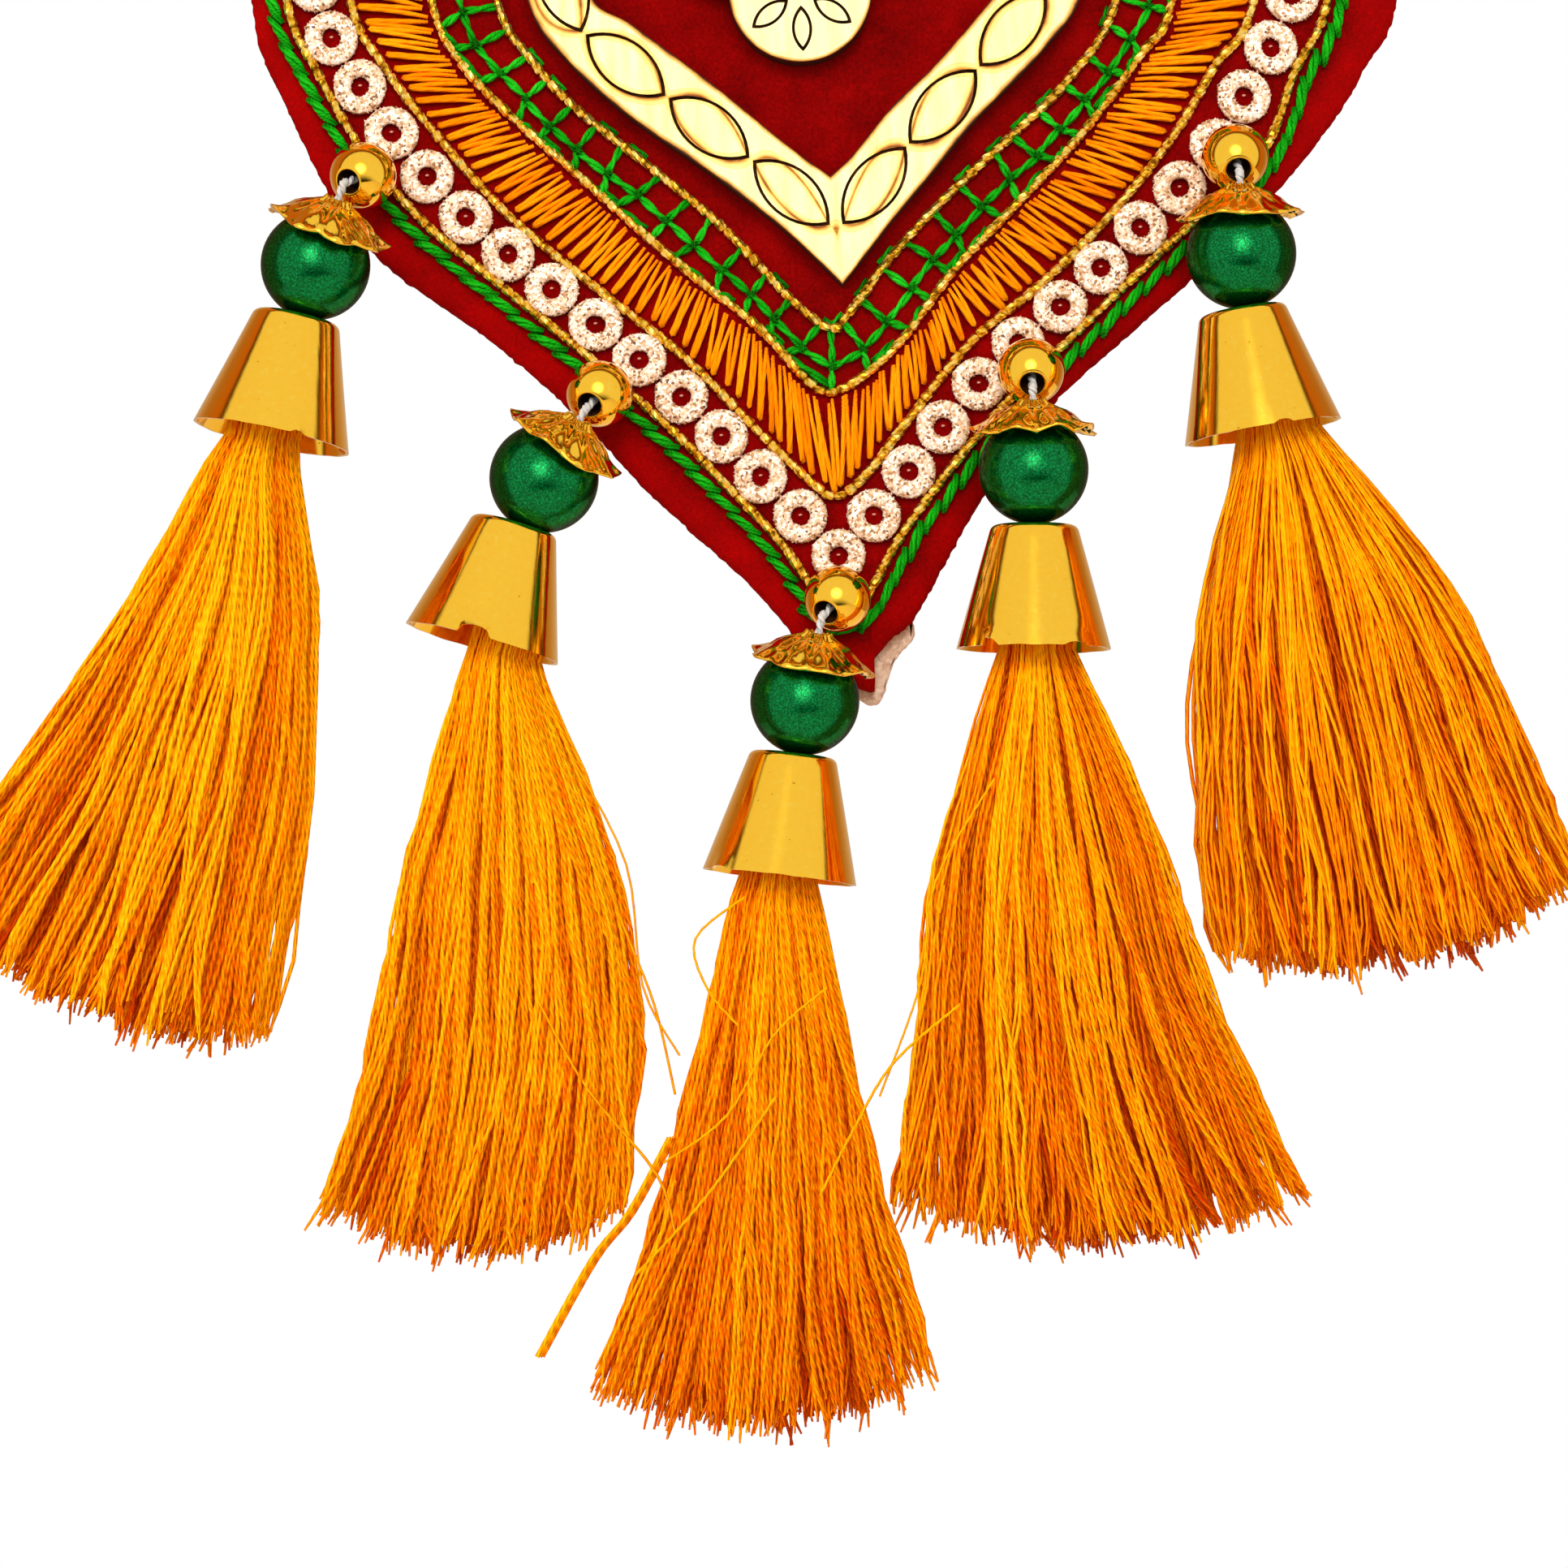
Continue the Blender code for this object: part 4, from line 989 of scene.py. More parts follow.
def makeFrame():
    outer = smoothLoop(woodOuter, wood["points"], sharpTip=True)
    inner = smoothLoop(woodInner, wood["points"], sharpTip=True)
    middle = [tuple((a + b) / 2 for a, b in zip(p, q)) for p, q in zip(outer, inner)]
    total = wood["points"]
    length = loopLength(middle)
    count = round((length - 2 * eyes["tipGap"] + eyes["gap"]) / eyePitch)
    stretch = (length - 2 * eyes["tipGap"] + eyes["gap"]) / (count * eyePitch)
    bm = bmesh.new()
    scale = bm.loops.layers.uv.new("millimetres")
    edge = bm.loops.layers.uv.new("edge")
    facts = {}
    stations = []
    walked = 0.0
    for index in range(total):
        stations.append(walked)
        walked += math.dist(middle[index], middle[(index + 1) % total])
    back, front = layers["trimBack"], layers["woodFront"]
    shares = [(0.0, back, -0.2), (0.0, front - wood["arris"], -0.1)]
    for step in range(wood["across"] + 1):
        share = step / wood["across"]
        shares.append((share * 0.96 + 0.02, front, None))
    shares += [(1.0, front - wood["arris"], -0.1), (1.0, back, -0.2)]
    # A narrow strip beside each edge carries the scorch
    shares.insert(3, (0.12, front, None))
    shares.insert(len(shares) - 3, (0.88, front, None))
    rows = []
    for share, depth, given in shares:
        row = []
        for index in range(total):
            p, q = Vector(outer[index]), Vector(inner[index])
            width = (q - p).length
            vert = bm.verts.new(facePoint(p.lerp(q, share), depth) * mm)
            near = min(share, 1 - share) * width if given is None else given
            facts[vert] = (stations[index], (share - 0.5) * width, near)
            row.append(vert)
        rows.append(row)
    for here, there in zip(rows, rows[1:] + rows[:1]):
        for index in range(total):
            ahead = (index + 1) % total
            face = bm.faces.new((here[index], here[ahead], there[ahead], there[index]))
            for loop in face.loops:
                along, side, near = facts[loop.vert]
                if index == total - 1 and along == 0.0:
                    along = length
                shifted = (along - eyes["tipGap"]) / stretch - eyes["length"] / 2
                loop[scale].uv = (shifted, side)
                loop[edge].uv = (near, 0.0)
    body = addObject("woodFrame", bm, plywoodFinish, smooth=False)
    body.data.materials.append(charAndShadeFinish)
    centres = []
    for number in range(count):
        start = eyes["tipGap"] + number * eyePitch * stretch
        ends = []
        for at in (start, start + eyes["length"] * stretch):
            index = max(k for k in range(total) if stations[k] <= at)
            share = (at - stations[index]) / max(math.dist(middle[index], middle[(index + 1) % total]), 1e-6)
            ends.append(Vector(middle[index]).lerp(Vector(middle[(index + 1) % total]), share))
        centres.append(ends)
    return body, centres


def eyeRing(bm, start, end, halfWidth, line, front, deep):
    # A closed groove cutter along a pointed oval from start to end
    chord = (end - start).length
    along = (end - start).normalized()
    side = Vector((-along.y, along.x))
    middle = (start + end) / 2
    steps = 14
    corners = []
    for grow in (line / 2, -line / 2):
        half = halfWidth + grow
        reach = chord / 2 + grow * 1.6
        radius = (reach * reach + half * half) / (2 * half)
        sweepAngle = math.asin(min(reach / radius, 1.0))
        outline = []
        for sign in (1, -1):
            for step in range(steps):
                angle = sign * (-sweepAngle + 2 * sweepAngle * step / steps)
                x = radius * math.sin(angle)
                y = sign * (radius * math.cos(angle) - radius + half)
                outline.append(middle + along * x + side * y)
        corners.append(outline)
    loops = []
    for outline, depth in ((corners[0], front - deep), (corners[1], front - deep), (corners[1], front + 0.4),
                           (corners[0], front + 0.4)):
        loops.append([bm.verts.new(facePoint(point, depth) * mm) for point in outline])
    for here, there in zip(loops, loops[1:] + loops[:1]):
        for index in range(len(here)):
            ahead = (index + 1) % len(here)
            bm.faces.new((here[index], here[ahead], there[ahead], there[index]))


def engrave(body, rings):
    bm = bmesh.new()
    for start, end, halfWidth, line in rings:
        eyeRing(bm, start, end, halfWidth, line, layers["woodFront"], eyes["deep"])
    cutter = addObject("engraver", bm, charAndShadeFinish, smooth=False)
    cut = body.modifiers.new("engraving", "BOOLEAN")
    cut.operation = "DIFFERENCE"
    cut.object = cutter
    cut.material_mode = "TRANSFER"
    graph = bpy.context.evaluated_depsgraph_get()
    mesh = bpy.data.meshes.new_from_object(body.evaluated_get(graph), depsgraph=graph)
    body.modifiers.clear()
    body.data = mesh
    bpy.data.objects.remove(cutter)
    return body


woodFrame, eyeEnds = makeFrame()
engrave(woodFrame, [(start, end, eyes["halfWidth"], eyes["line"]) for start, end in eyeEnds])
finishPiece(woodFrame, "pale_plywood", "wood_frame")


def makeLotus():
    def outlineAt(grow):
        outline = []
        for step in range(lotus["points"]):
            angle = 360 * step / lotus["points"]
            reach = lotus["foot"]
            for petalAngle, length, halfWidth in lotus["petals"]:
                away = abs(angle - petalAngle) / halfWidth
                if away < 1:
                    reach = max(reach, lotus["foot"] + (length - lotus["foot"]) * (1 - away) ** 0.6)
            x = lotus["middle"][0] + reach * math.cos(math.radians(angle))
            z = lotus["middle"][1] + reach * math.sin(math.radians(angle))
            outline.append((x, z))
        return offsetLoop(outline, grow) if grow else outline

    back, front = layers["trimBack"], layers["woodFront"]
    bm = bmesh.new()
    scale = bm.loops.layers.uv.new("millimetres")
    edge = bm.loops.layers.uv.new("edge")
    near = {}
    rims = []
    centre = lotus["middle"]
    plain = outlineAt(0.0)
    for share, depth, given in ((1.0, back, -0.2), (1.0, front - 0.12, -0.1), (0.992, front, 0.1),
                                (0.94, front, wood["edgeFade"]), (0.5, front, 1.0), (0.05, front, 1.0)):
        rim = []
        for x, z in plain:
            spot = (centre[0] + (x - centre[0]) * share, centre[1] + (z - centre[1]) * share)
            vert = bm.verts.new(facePoint(spot, depth) * mm)
            near[vert] = given
            rim.append(vert)
        rims.append(rim)
    for here, there in zip(rims, rims[1:]):
        for index in range(len(here)):
            ahead = (index + 1) % len(here)
            bm.faces.new((here[index], here[ahead], there[ahead], there[index]))
    bm.faces.new(rims[0])
    bm.faces.new(rims[-1])
    for face in bm.faces:
        for loop in face.loops:
            loop[scale].uv = (0.0, 40.0)
            loop[edge].uv = (near[loop.vert], 0.0)
    body = addObject("woodLotus", bm, plywoodFinish, smooth=False)
    body.data.materials.append(charAndShadeFinish)
    rings = []
    for petalAngle, length, halfWidth in lotus["petals"]:
        toward = Vector((math.cos(math.radians(petalAngle)), math.sin(math.radians(petalAngle))))
        start = Vector(centre) + toward * (lotus["foot"] + 0.6)
        end = Vector(centre) + toward * (length - 2.6)
        rings.append((start, end, (length - lotus["foot"]) * 0.13, eyes["line"]))
    for angle in (35, 90, 145, 215, 270, 325):
        toward = Vector((math.cos(math.radians(angle)), math.sin(math.radians(angle))))
        rings.append((Vector(centre) + toward * 1.6, Vector(centre) + toward * 5.4, 0.8, eyes["line"]))
    return engrave(body, rings)


finishPiece(makeLotus(), "pale_plywood", "wood_lotus")

# Tassels. One row each, in millimetres, as in the solids
tasselRows = [
    {
        "bead": (-42.5, -73.8), "hole": (-43.8, -74.7), "pearl": (-47.1, -82.0), "mouth": (-52.0, -97.6),
        "front": 9.2,
        "left": [(-57.3, -98.2), (-65.5, -111.5), (-76.0, -125.5), (-86.2, -138.2)],
        "right": [(-49.7, -99.8), (-49.0, -115.0), (-51.2, -133.0), (-56.0, -152.5)],
    },
    {
        "bead": (-21.9, -94.9), "hole": (-22.9, -96.2), "pearl": (-27.3, -102.5), "mouth": (-33.9, -117.7),
        "front": 9.2,
        "left": [(-35.8, -119.6), (-41.1, -136.0), (-45.2, -153.0), (-50.6, -168.5)],
        "right": [(-27.9, -121.2), (-23.0, -137.5), (-21.6, -154.0), (-24.0, -170.5)],
    },
    {
        "bead": (-1.1, -114.8), "hole": (-2.4, -116.2), "pearl": (-4.6, -124.0), "mouth": (-7.8, -140.3),
        "front": 9.2,
        "left": [(-12.1, -140.6), (-16.0, -155.0), (-20.9, -171.0), (-27.8, -187.5)],
        "right": [(-4.2, -142.2), (-2.0, -157.0), (0.2, -172.0), (4.0, -187.5)],
    },
    {
        "bead": (17.7, -94.9), "hole": (17.6, -96.4), "pearl": (17.3, -104.1), "mouth": (16.4, -121.1),
        "front": 10.0,
        "left": [(12.8, -121.9), (6.8, -139.0), (4.2, -156.0), (1.6, -170.5)],
        "right": [(20.7, -122.1), (27.0, -139.0), (31.2, -155.0), (38.0, -171.5)],
    },
    {
        "bead": (37.4, -76.3), "hole": (37.4, -77.9), "pearl": (37.2, -85.5), "mouth": (38.4, -102.4),
        "front": 10.0,
        "left": [(36.0, -103.2), (31.8, -119.0), (31.0, -135.5), (32.2, -149.5)],
        "right": [(44.5, -102.8), (54.2, -116.5), (60.5, -132.0), (64.5, -144.5)],
    },
]
hung = {"beadFront": 7.35, "beadRadius": 3.05, "bore": 0.8, "pearlRadius": 5.0, "coneSeat": 5.4, "coneHeight": 11.3,
        "coneTop": 4.1, "coneMouth": 7.1, "string": 0.4}


def hangLine(row):
    bead = Vector((row["bead"][0], -hung["beadFront"], row["bead"][1]))
    dropX = row["hole"][0] - row["bead"][0]
    dropZ = row["hole"][1] - row["bead"][1]
    bore = Vector((dropX, -math.sqrt(hung["beadRadius"] ** 2 - dropX ** 2 - dropZ ** 2), dropZ)).normalized()
    bend = bead + bore * (hung["beadRadius"] + 0.55)
    pearl = Vector((row["pearl"][0], -row["front"], row["pearl"][1]))
    up = (bend - pearl).normalized()
    lid = pearl - up * hung["coneSeat"]
    mouth = Vector((row["mouth"][0], -row["front"], row["mouth"][1]))
    return {"bead": bead, "bore": bore, "bend": bend, "pearl": pearl, "up": up, "lid": lid,
            "axis": (mouth - lid).normalized()}


def settle(piece, middle, direction):
    # Turns a piece made about Z to its place, and leaves its object at the origin
    turn = direction.to_track_quat("Z", "Y").to_matrix().to_4x4()
    piece.data.transform(Matrix.Translation(middle * mm) @ turn)
    return piece


def ballProfile(radius, bore, steps, lip):
    first = math.asin((bore + lip) / radius)
    angles = [first + (math.pi - 2 * first) * step / steps for step in range(steps + 1)]
    face = [(radius * math.sin(a), radius * math.cos(a)) for a in angles]
    top = face[0][1]
    return [(bore, top - lip * 1.2), (bore + lip * 0.3, top - lip * 0.3)] + face + [
        (bore + lip * 0.3, lip * 0.3 - top), (bore, lip * 1.2 - top)]


def makeBead(number, line):
    def seam(radius, height, angle, row):
        ridge = 0.05 * max(0.0, 1 - abs(height) / 0.18)
        return radius + ridge, height

    piece = turned(f"bead{number}", ballProfile(hung["beadRadius"], 1.1, 28, 0.12), 48, goldFinish, seam)
    # Painted shade: the faces inside the bore get the dark char material
    piece.data.materials.append(charAndShadeFinish)
    for face in piece.data.polygons:
        face.material_index = 1 if math.hypot(face.center.x, face.center.y) < 1.14 * mm else 0
    return settle(piece, line["bead"], line["bore"])


def makePearl(number, line):
    piece = turned(f"pearl{number}", ballProfile(hung["pearlRadius"] - 0.01, hung["bore"], 32, 0.2), 64, pearlFinish)
    return settle(piece, line["pearl"], line["up"])


cap = {"petals": 9, "rim": 5.75, "thick": 0.22, "emboss": 0.28, "profile": [(0.9, 6.35), (1.2, 6.3), (1.45, 5.85),
       (2.2, 5.6), (3.0, 5.25), (3.7, 4.85), (4.3, 4.4), (4.85, 3.95), (5.35, 3.6), (5.85, 3.4)]}


def makeCap(number, line):
    dice = random.Random(f"cap {number}")
    lobes = [(dice.uniform(-0.35, 0.75), dice.uniform(-0.15, 0.4)) for petal in range(cap["petals"])]
    count = len(cap["profile"])

    def petal(radius, height, angle, row):
        under = row >= count
        ring = row if not under else 2 * count - 1 - row
        share = ring / (count - 1)
        turn = angle / math.tau * cap["petals"]
        lobe = int(turn) % cap["petals"]
        across = abs(turn - int(turn) - 0.5) * 2
        rise, reach = lobes[lobe]
        rim = max(0.0, share - 0.72) / 0.28
        point = (1 - across ** 1.5)
        studs = 0.16 * math.sin(3 * math.pi * share) * math.cos(math.tau * across)
        crease = studs + cap["emboss"] * (math.cos(math.pi * across) * 0.5 + 0.2) * math.sin(math.pi * min(share * 1.15, 1.0))
        drop = rim * (0.55 * point - 0.45)
        return radius + drop * (1 + reach), height + crease + rim * point * rise

    top = cap["profile"]
    under = [(r * (1 - cap["thick"] / 6), h - cap["thick"]) for r, h in reversed(top)]
    under[-1] = (top[0][0], under[-1][1])
    piece = turned(f"cap{number}", top + under, cap["petals"] * 12, goldFinish, petal)
    return settle(piece, line["pearl"], line["up"])


# A chip is its angle from the front, in degrees towards the wearer's right, its width and its height
cone = {"lift": 0.35, "wall": 0.32, "sides": 96, "round": 0.75, "chips": {2: [(-4, 3.2, 0.85)], 4: [(-38, 1.6, 0.7), (30, 2.4, 0.35)],
        1: [(25, 1.2, 0.25)], 3: [(-50, 2.0, 0.3)], 5: [(10, 1.5, 0.3)]}}


def makeCone(number, line):
    top, mouth, height = hung["coneTop"], hung["coneMouth"], hung["coneHeight"]
    face = []
    for step in range(7):
        angle = math.radians(90 - 75 * step / 6)
        face.append((top - cone["round"] + cone["round"] * math.cos(angle),
                     cone["round"] * (math.sin(angle) - 1)))
    first = face[-1]
    rows = 12
    for step in range(1, rows + 1):
        share = step / rows
        face.append((first[0] + (mouth - first[0]) * share, first[1] + (-height - first[1]) * share))
    profile = [(1.0, 0.0)] + face + [(r - cone["wall"], h) for r, h in reversed(face[6:])]
    profile += [(top - cone["round"], -0.6), (1.0, -0.6)]
    dice = random.Random(f"cone {number}")
    turnBack = (-line["axis"]).to_track_quat("Z", "Y").to_matrix()
    frontward = turnBack.inverted() @ Vector((0, -1, 0))
    facing = math.atan2(frontward.y, frontward.x)
    phase = dice.uniform(0, 9)

    def chipped(radius, rise, angle, row):
        share = max(0.0, -rise / height)
        bell = 0.12 * share * math.cos(2 * angle + phase) * share
        lift = 0.0
        for degrees, width, tall in cone["chips"].get(number, []):
            away = math.remainder(angle - facing - math.radians(degrees), math.tau) * mouth / (width / 2)
            if abs(away) < 1:
                lift += tall * (1 - away * away) ** 0.5
        ragged = 0.07 * noise.noise(Vector((math.cos(angle) * 4, math.sin(angle) * 4, number)))
        near = max(0.0, share - 0.86) / 0.14
        return radius + bell + 0.12 * near * (lift > 0), rise + (lift + ragged) * near

    piece = turned(f"cone{number}", profile, cone["sides"], goldFinish, chipped)
    piece.data.set_sharp_from_angle(angle=math.radians(55))
    # The pearl sits on the lid
    return settle(piece, line["lid"] - line["axis"] * cone["lift"], -line["axis"])


def makeString(number, line):
    bead, bore, bend = line["bead"], line["bore"], line["bend"]
    pearl, up, lid = line["pearl"], line["up"], line["lid"]
    route = [bead - bore * 2.6, bead, bead + bore * hung["beadRadius"], bend, pearl + up * 6.0, pearl, lid,
             lid + line["axis"] * 1.2]
    path = []
    for index in range(len(route) - 1):
        before = route[max(index - 1, 0)]
        after = route[min(index + 2, len(route) - 1)]
        for step in range(8):
            path.append(Vector(curveBetween(before, route[index], route[index + 1], after, step / 8)))
    path.append(route[-1])
    strands = twisted(path, 0.19, 0.24, 7.0, 0.2, plies=2, taper=0.9)
    return sweep(f"string{number}", strands, stringFinish, 6)


# The fan's sections are 0 at the cone's mouth, to 3 at the ends of the threads
fan = {"depths": [3.9, 4.6, 5.2, 5.0], "bulge": 3.4, "bundles": 380, "perBundle": 3, "spread": 0.5, "girth": 0.225,
       "steps": 15, "wander": 0.17, "wave": 0.24, "ownWave": 0.46, "shorter": [0.02, 0.04, 0.07, 0.02, 0.02], "headTop": 3.0,
       "deeper": [0.0, 0.05, 0.14, 0.05, 0.0]}


# Loose threads beside three of the tassels: half thickness, then x, y in front of the middle, and z
strays = {
    2: [(0.14, [(-25.0, -4.0, -134.0), (-22.0, -4.5, -143.7), (-19.6, -4.2, -151.0), (-18.2, -4.0, -159.0)]),
        (0.12, [(-26.0, -4.2, -128.0), (-21.5, -4.6, -138.0), (-20.6, -4.4, -149.0), (-17.6, -4.1, -155.5)]),
        (0.16, [(-30.0, -5.0, -150.0), (-26.0, -5.4, -158.0), (-20.2, -5.2, -166.0), (-18.8, -5.0, -171.5)])],
    3: [(0.26, [(-19.0, -2.0, -163.0), (-23.0, -2.6, -169.5), (-26.6, -3.2, -173.6), (-31.9, -4.0, -182.0)]),
        (0.15, [(-9.1, -5.6, -159.5), (-14.0, -5.8, -166.0), (-18.0, -5.6, -170.5), (-22.6, -5.0, -175.0)]),
        (0.13, [(-11.0, -4.6, -141.5), (-15.6, -4.9, -145.0), (-14.8, -4.9, -149.5), (-12.2, -4.9, -153.0)]),
        (0.13, [(-4.0, -5.6, -150.0), (-9.0, -5.8, -154.0), (-13.6, -5.6, -161.0), (-19.5, -5.2, -165.0)])],
    4: [(0.15, [(8.0, -5.2, -152.0), (1.6, -5.6, -157.0), (-2.4, -5.4, -163.0), (-5.6, -5.2, -168.6)]),
        (0.12, [(12.0, -5.2, -132.0), (6.2, -5.4, -141.0), (4.4, -5.4, -150.0), (0.2, -5.2, -160.0)])],
}


def fanAt(values, section):
    index = min(int(section), len(values) - 2)
    before = values[max(index - 1, 0)]
    after = values[min(index + 2, len(values) - 1)]
    return curveBetween(before, values[index], values[index + 1], after, section - index)


def fanPoint(row, across, deep, section):
    left = fanAt(row["left"], section)
    right = fanAt(row["right"], section)
    depth = fanAt([(d,) for d in fan["depths"]], section)[0]
    roundness = max(0.0, 1 - section)
    squareAcross = across * math.sqrt(1 - roundness * deep * deep / 2)
    squareDeep = deep * math.sqrt(1 - roundness * across * across / 2)
    share = (squareAcross + 1) / 2
    x = left[0] + (right[0] - left[0]) * share
    z = left[1] + (right[1] - left[1]) * share - fan["bulge"] * (1 - across * across) * section / 3
    return Vector((x, -row["front"] - squareDeep * depth, z))


def makeThread(number, row, line):
    dice = random.Random(f"tassel {number}")
    strands = []
    mouth = line["lid"] + line["axis"] * hung["coneHeight"]
    for bundle in range(fan["bundles"]):
        while True:
            across = dice.uniform(-0.97, 0.97)
            deep = dice.uniform(-0.97, 0.97)
            if abs(across) ** 2.6 + abs(deep) ** 2.6 < 1:
                break
        shell = max(abs(across), abs(deep))
        wave = dice.uniform(0, math.tau)
        waveLength = dice.uniform(1.6, 3.0)
        drift = dice.gauss(0, fan["wander"])
        driftDeep = dice.gauss(0, fan["wander"])
        longer = dice.gauss(0, 0.02) - fan["shorter"][number - 1]
        if dice.random() < 0.08:
            longer += dice.uniform(0.02, 0.06)
        # Painted shade: threads deeper inside the fan get a deeper tone, where less light reaches them
        paintedDepthShade = max(0.0, 1 - shell) * 1.1
        bundleTone = dice.gauss(0.0, 0.1)
        for strand in range(fan["perBundle"]):
            angle = dice.uniform(0, math.tau)
            away = fan["spread"] * math.sqrt(dice.random())
            offset = Vector((math.cos(angle), math.sin(angle) * 0.8, 0.0)) * away
            phase = wave + dice.uniform(-0.5, 0.5)
            ownPhase = dice.uniform(0, math.tau)
            ownLength = dice.uniform(9, 16)
            ownWave = fan["ownWave"] * dice.uniform(0.3, 1.4)
            end = 3.0 * (1 + longer + dice.gauss(0, 0.012))
            points = []
            girths = []
            for step in range(fan["steps"] + 1):
                section = -0.3 + (end + 0.3) * step / fan["steps"]
                part = max(section, 0.0) / 3
                here = min(max(across + drift * part ** 1.4, -1.0), 1.0)
                there = min(max(deep + driftDeep * part, -1.0), 1.0)
                spot = fanPoint(row, here, there, max(min(section, 3.0), 0.0))
                if section > 3.0:
                    ahead = spot - fanPoint(row, here, there, 2.8)
                    spot += ahead * (section - 3.0) / 0.2
                if section < 0.0:
                    inside = mouth + (spot - mouth) * 0.85
                    spot = inside - line["axis"] * (-section * 15)
                swing = fan["wave"] * math.sin(phase + section * waveLength * 2.2) * (0.4 + part)
                swing += ownWave * math.sin(ownPhase + part * ownLength) * (0.35 + 0.65 * part)
                spread = offset * (0.55 + 0.6 * part)
                jitter = Vector((dice.gauss(0, 0.11), dice.gauss(0, 0.09), 0.0)) * (0.3 + part)
                points.append(spot + spread + Vector((swing, swing * 0.5, 0.0)) + jitter)
                girths.append(fan["girth"] * (0.72 + 0.28 * min(part * 4, 1.0)) * dice.uniform(0.9, 1.1))
            girths[-1] *= 0.5
            tone = min(max(0.03 + fan["deeper"][number - 1] + paintedDepthShade + bundleTone + dice.gauss(0, 0.07), 0.0), 1.0)
            strands.append((points, girths, tone))
    for thick, route in strays.get(number, []):
        path = []
        for index in range(len(route) - 1):
            before = route[max(index - 1, 0)]
            after = route[min(index + 2, len(route) - 1)]
            path += [curveBetween(before, route[index], route[index + 1], after, step / 5) for step in range(5)]
        points = [Vector((x, y - row["front"], z)) for x, y, z in path + [route[-1]]]
        for ply in range(3 if thick > 0.25 else 1):
            aside = Vector((0.24 * ply, 0.1 * ply, 0.0))
            strands.append(([point + aside for point in points], [thick] * len(points), 0.15 + 0.15 * ply))
    # The wound head that the cone hides; its deep tone is painted shade under the cone
    head = []
    for step in range(7):
        head.append(line["lid"] + line["axis"] * (1.6 + 7.2 * step / 6))
    strands.append((head, [fan["headTop"]] * 7, 0.9))
    return sweep(f"thread{number}", strands, tasselFinish, 3)


for number, row in enumerate(tasselRows, start=1):
    line = hangLine(row)
    finishPiece(makeBead(number, line), "gold_plastic", f"bead_{number}")
    finishPiece(makeCap(number, line), "gold_plastic", f"cap_{number}")
    finishPiece(makePearl(number, line), "green_pearl", f"pearl_{number}")
    finishPiece(makeCone(number, line), "gold_plastic", f"cone_{number}")
    finishPiece(makeString(number, line), "white_string", f"string_{number}")
    finishPiece(makeThread(number, row, line), "tassel_thread", f"thread_{number}")
print("tassels hung")

# Studio: a pale floor below, a wide white softbox wall in front, dark behind and below the lens
studio = {"floor": -0.36, "frameWidth": 144.2, "middle": (-6.9, -131.5), "plane": 6.0, "roll": 3.0, "lens": 100.0}


def makeFloor():
    bm = bmesh.new()
    corners = [(-0.5, -0.5), (0.5, -0.5), (0.5, 0.5), (-0.5, 0.5)]
    bm.faces.new([bm.verts.new((x, y, studio["floor"])) for x, y in corners])
    made, tree, shader = startMaterial("paleFloor", "#E9E7E3", 0.8)
    where = addNode(tree, "ShaderNodeTexCoord").outputs["Object"]
    grain = addNode(tree, "ShaderNodeTexNoise", {"Scale": 90.0, "Detail": 3.0}, {"Vector": where})
    stops = [(0.3, "#E4E2DE"), (0.7, "#EEECE9")]
    colour = addNode(tree, "ShaderNodeValToRGB", {"stops": stops}, {"Fac": grain.outputs["Fac"]})
    tree.links.new(colour.outputs[0], shader.inputs["Base Color"])
    addObject("floor", bm, made, smooth=False)


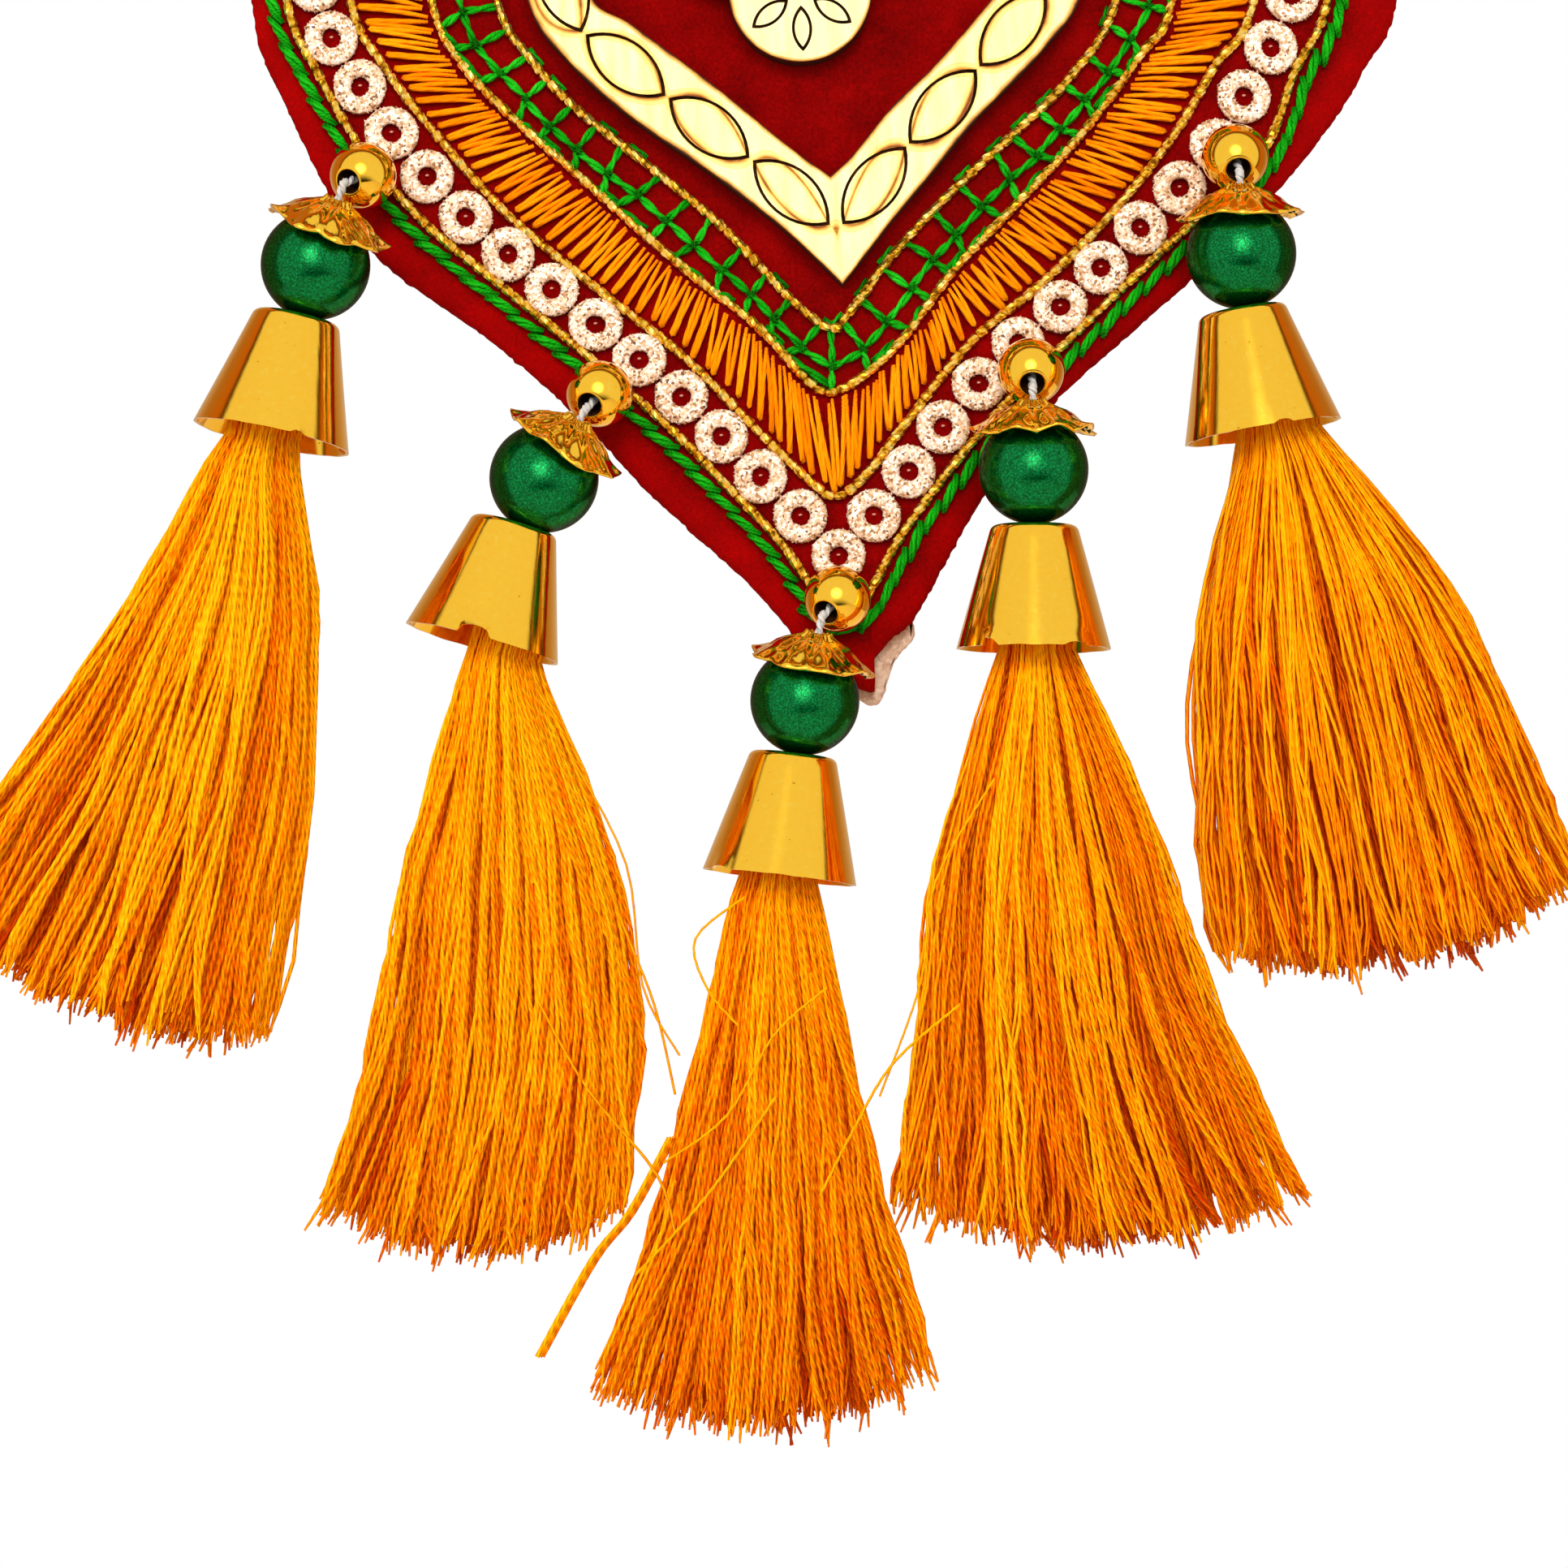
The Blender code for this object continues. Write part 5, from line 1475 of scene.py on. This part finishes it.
def makeWorld():
    world = bpy.data.worlds.new("studio")
    bpy.context.scene.world = world
    world.use_nodes = True
    tree = world.node_tree
    tree.nodes.clear()
    where = addNode(tree, "ShaderNodeTexCoord").outputs["Generated"]
    parts = addNode(tree, "ShaderNodeSeparateXYZ", links={"Vector": where})
    depth = addNode(tree, "ShaderNodeMath", {"operation": "MULTIPLY_ADD", 1: 0.5, 2: 0.5}, {0: parts.outputs[1]})
    stops = [(0.0, "#FFFFFF"), (0.41, "#FFFAF0"), (0.46, "#40260A"), (0.52, "#C87428"), (0.75, "#B88450"),
             (1.0, "#D8C0A8")]
    room = addNode(tree, "ShaderNodeValToRGB", {"stops": stops}, {"Fac": depth.outputs[0]})
    lens = addNode(tree, "ShaderNodeVectorMath", {"operation": "DISTANCE", 1: (0.04, -0.64, -0.77)}, {0: where})
    shade = addNode(tree, "ShaderNodeMapRange", {"interpolation_type": "SMOOTHSTEP", 1: 0.45, 2: 0.85, 3: 0.02,
                                                4: 0.92}, {0: lens.outputs["Value"]})
    lamp = addNode(tree, "ShaderNodeVectorMath", {"operation": "DISTANCE", 1: (-0.06, -0.955, 0.29)}, {0: where})
    glow = addNode(tree, "ShaderNodeMapRange", {"interpolation_type": "SMOOTHSTEP", 1: 0.42, 2: 0.06, 3: 0.0,
                                               4: 3.6}, {0: lamp.outputs["Value"]})
    power = addNode(tree, "ShaderNodeMath", {"operation": "ADD"}, {0: shade.outputs[0], 1: glow.outputs[0]})
    # The lens sees plain white behind the piece.
    direct = addNode(tree, "ShaderNodeLightPath").outputs["Is Camera Ray"]
    colour = addNode(tree, "ShaderNodeMix", {"data_type": "RGBA", 7: (1.0, 1.0, 1.0, 1.0)},
                     {"Factor": direct, 6: room.outputs[0]})
    lit = addNode(tree, "ShaderNodeMix", {"data_type": "FLOAT", 3: 1.0}, {"Factor": direct, 2: power.outputs[0]})
    links = {"Color": colour.outputs[2], "Strength": lit.outputs[0]}
    light = addNode(tree, "ShaderNodeBackground", links=links)
    addNode(tree, "ShaderNodeOutputWorld", links={"Surface": light.outputs[0]})


def addSoftbox(name, place, size, power, mirrored):
    light = bpy.data.lights.new(name, "AREA")
    light.shape = "RECTANGLE"
    light.size, light.size_y = size
    light.energy = power
    made = bpy.data.objects.new(name, light)
    made.location = place
    made.visible_glossy = mirrored
    made.rotation_euler = (Vector((0.0, 0.0, -0.12)) - Vector(place)).to_track_quat("-Z", "Y").to_euler()
    bpy.context.collection.objects.link(made)


def makeCamera():
    data = bpy.data.cameras.new("camera")
    data.lens = studio["lens"]
    data.sensor_width = 36.0
    data.clip_start = 0.01
    made = bpy.data.objects.new("camera", data)
    bpy.context.collection.objects.link(made)
    distance = studio["frameWidth"] * studio["lens"] / 36.0
    x, z = studio["middle"]
    roll = math.radians(studio["roll"])
    right = Vector((math.cos(roll), 0.0, -math.sin(roll)))
    up = Vector((math.sin(roll), 0.0, math.cos(roll)))
    turn = Matrix((right, up, Vector((0.0, -1.0, 0.0)))).transposed().to_4x4()
    made.matrix_world = Matrix.Translation(Vector((x, -studio["plane"] - distance, z)) * mm) @ turn
    bpy.context.scene.camera = made


makeFloor()
makeWorld()
addSoftbox("keyBox", (0.03, -0.5, 0.16), (0.2, 0.2), 1.3, False)
addSoftbox("fillBox", (-0.45, -0.4, 0.2), (0.3, 0.3), 1.0, False)
addSoftbox("rearBox", (0.2, 0.6, 0.3), (0.5, 0.5), 3.0, False)
makeCamera()
bpy.context.scene.view_settings.view_transform = "Standard"
print("studio ready")
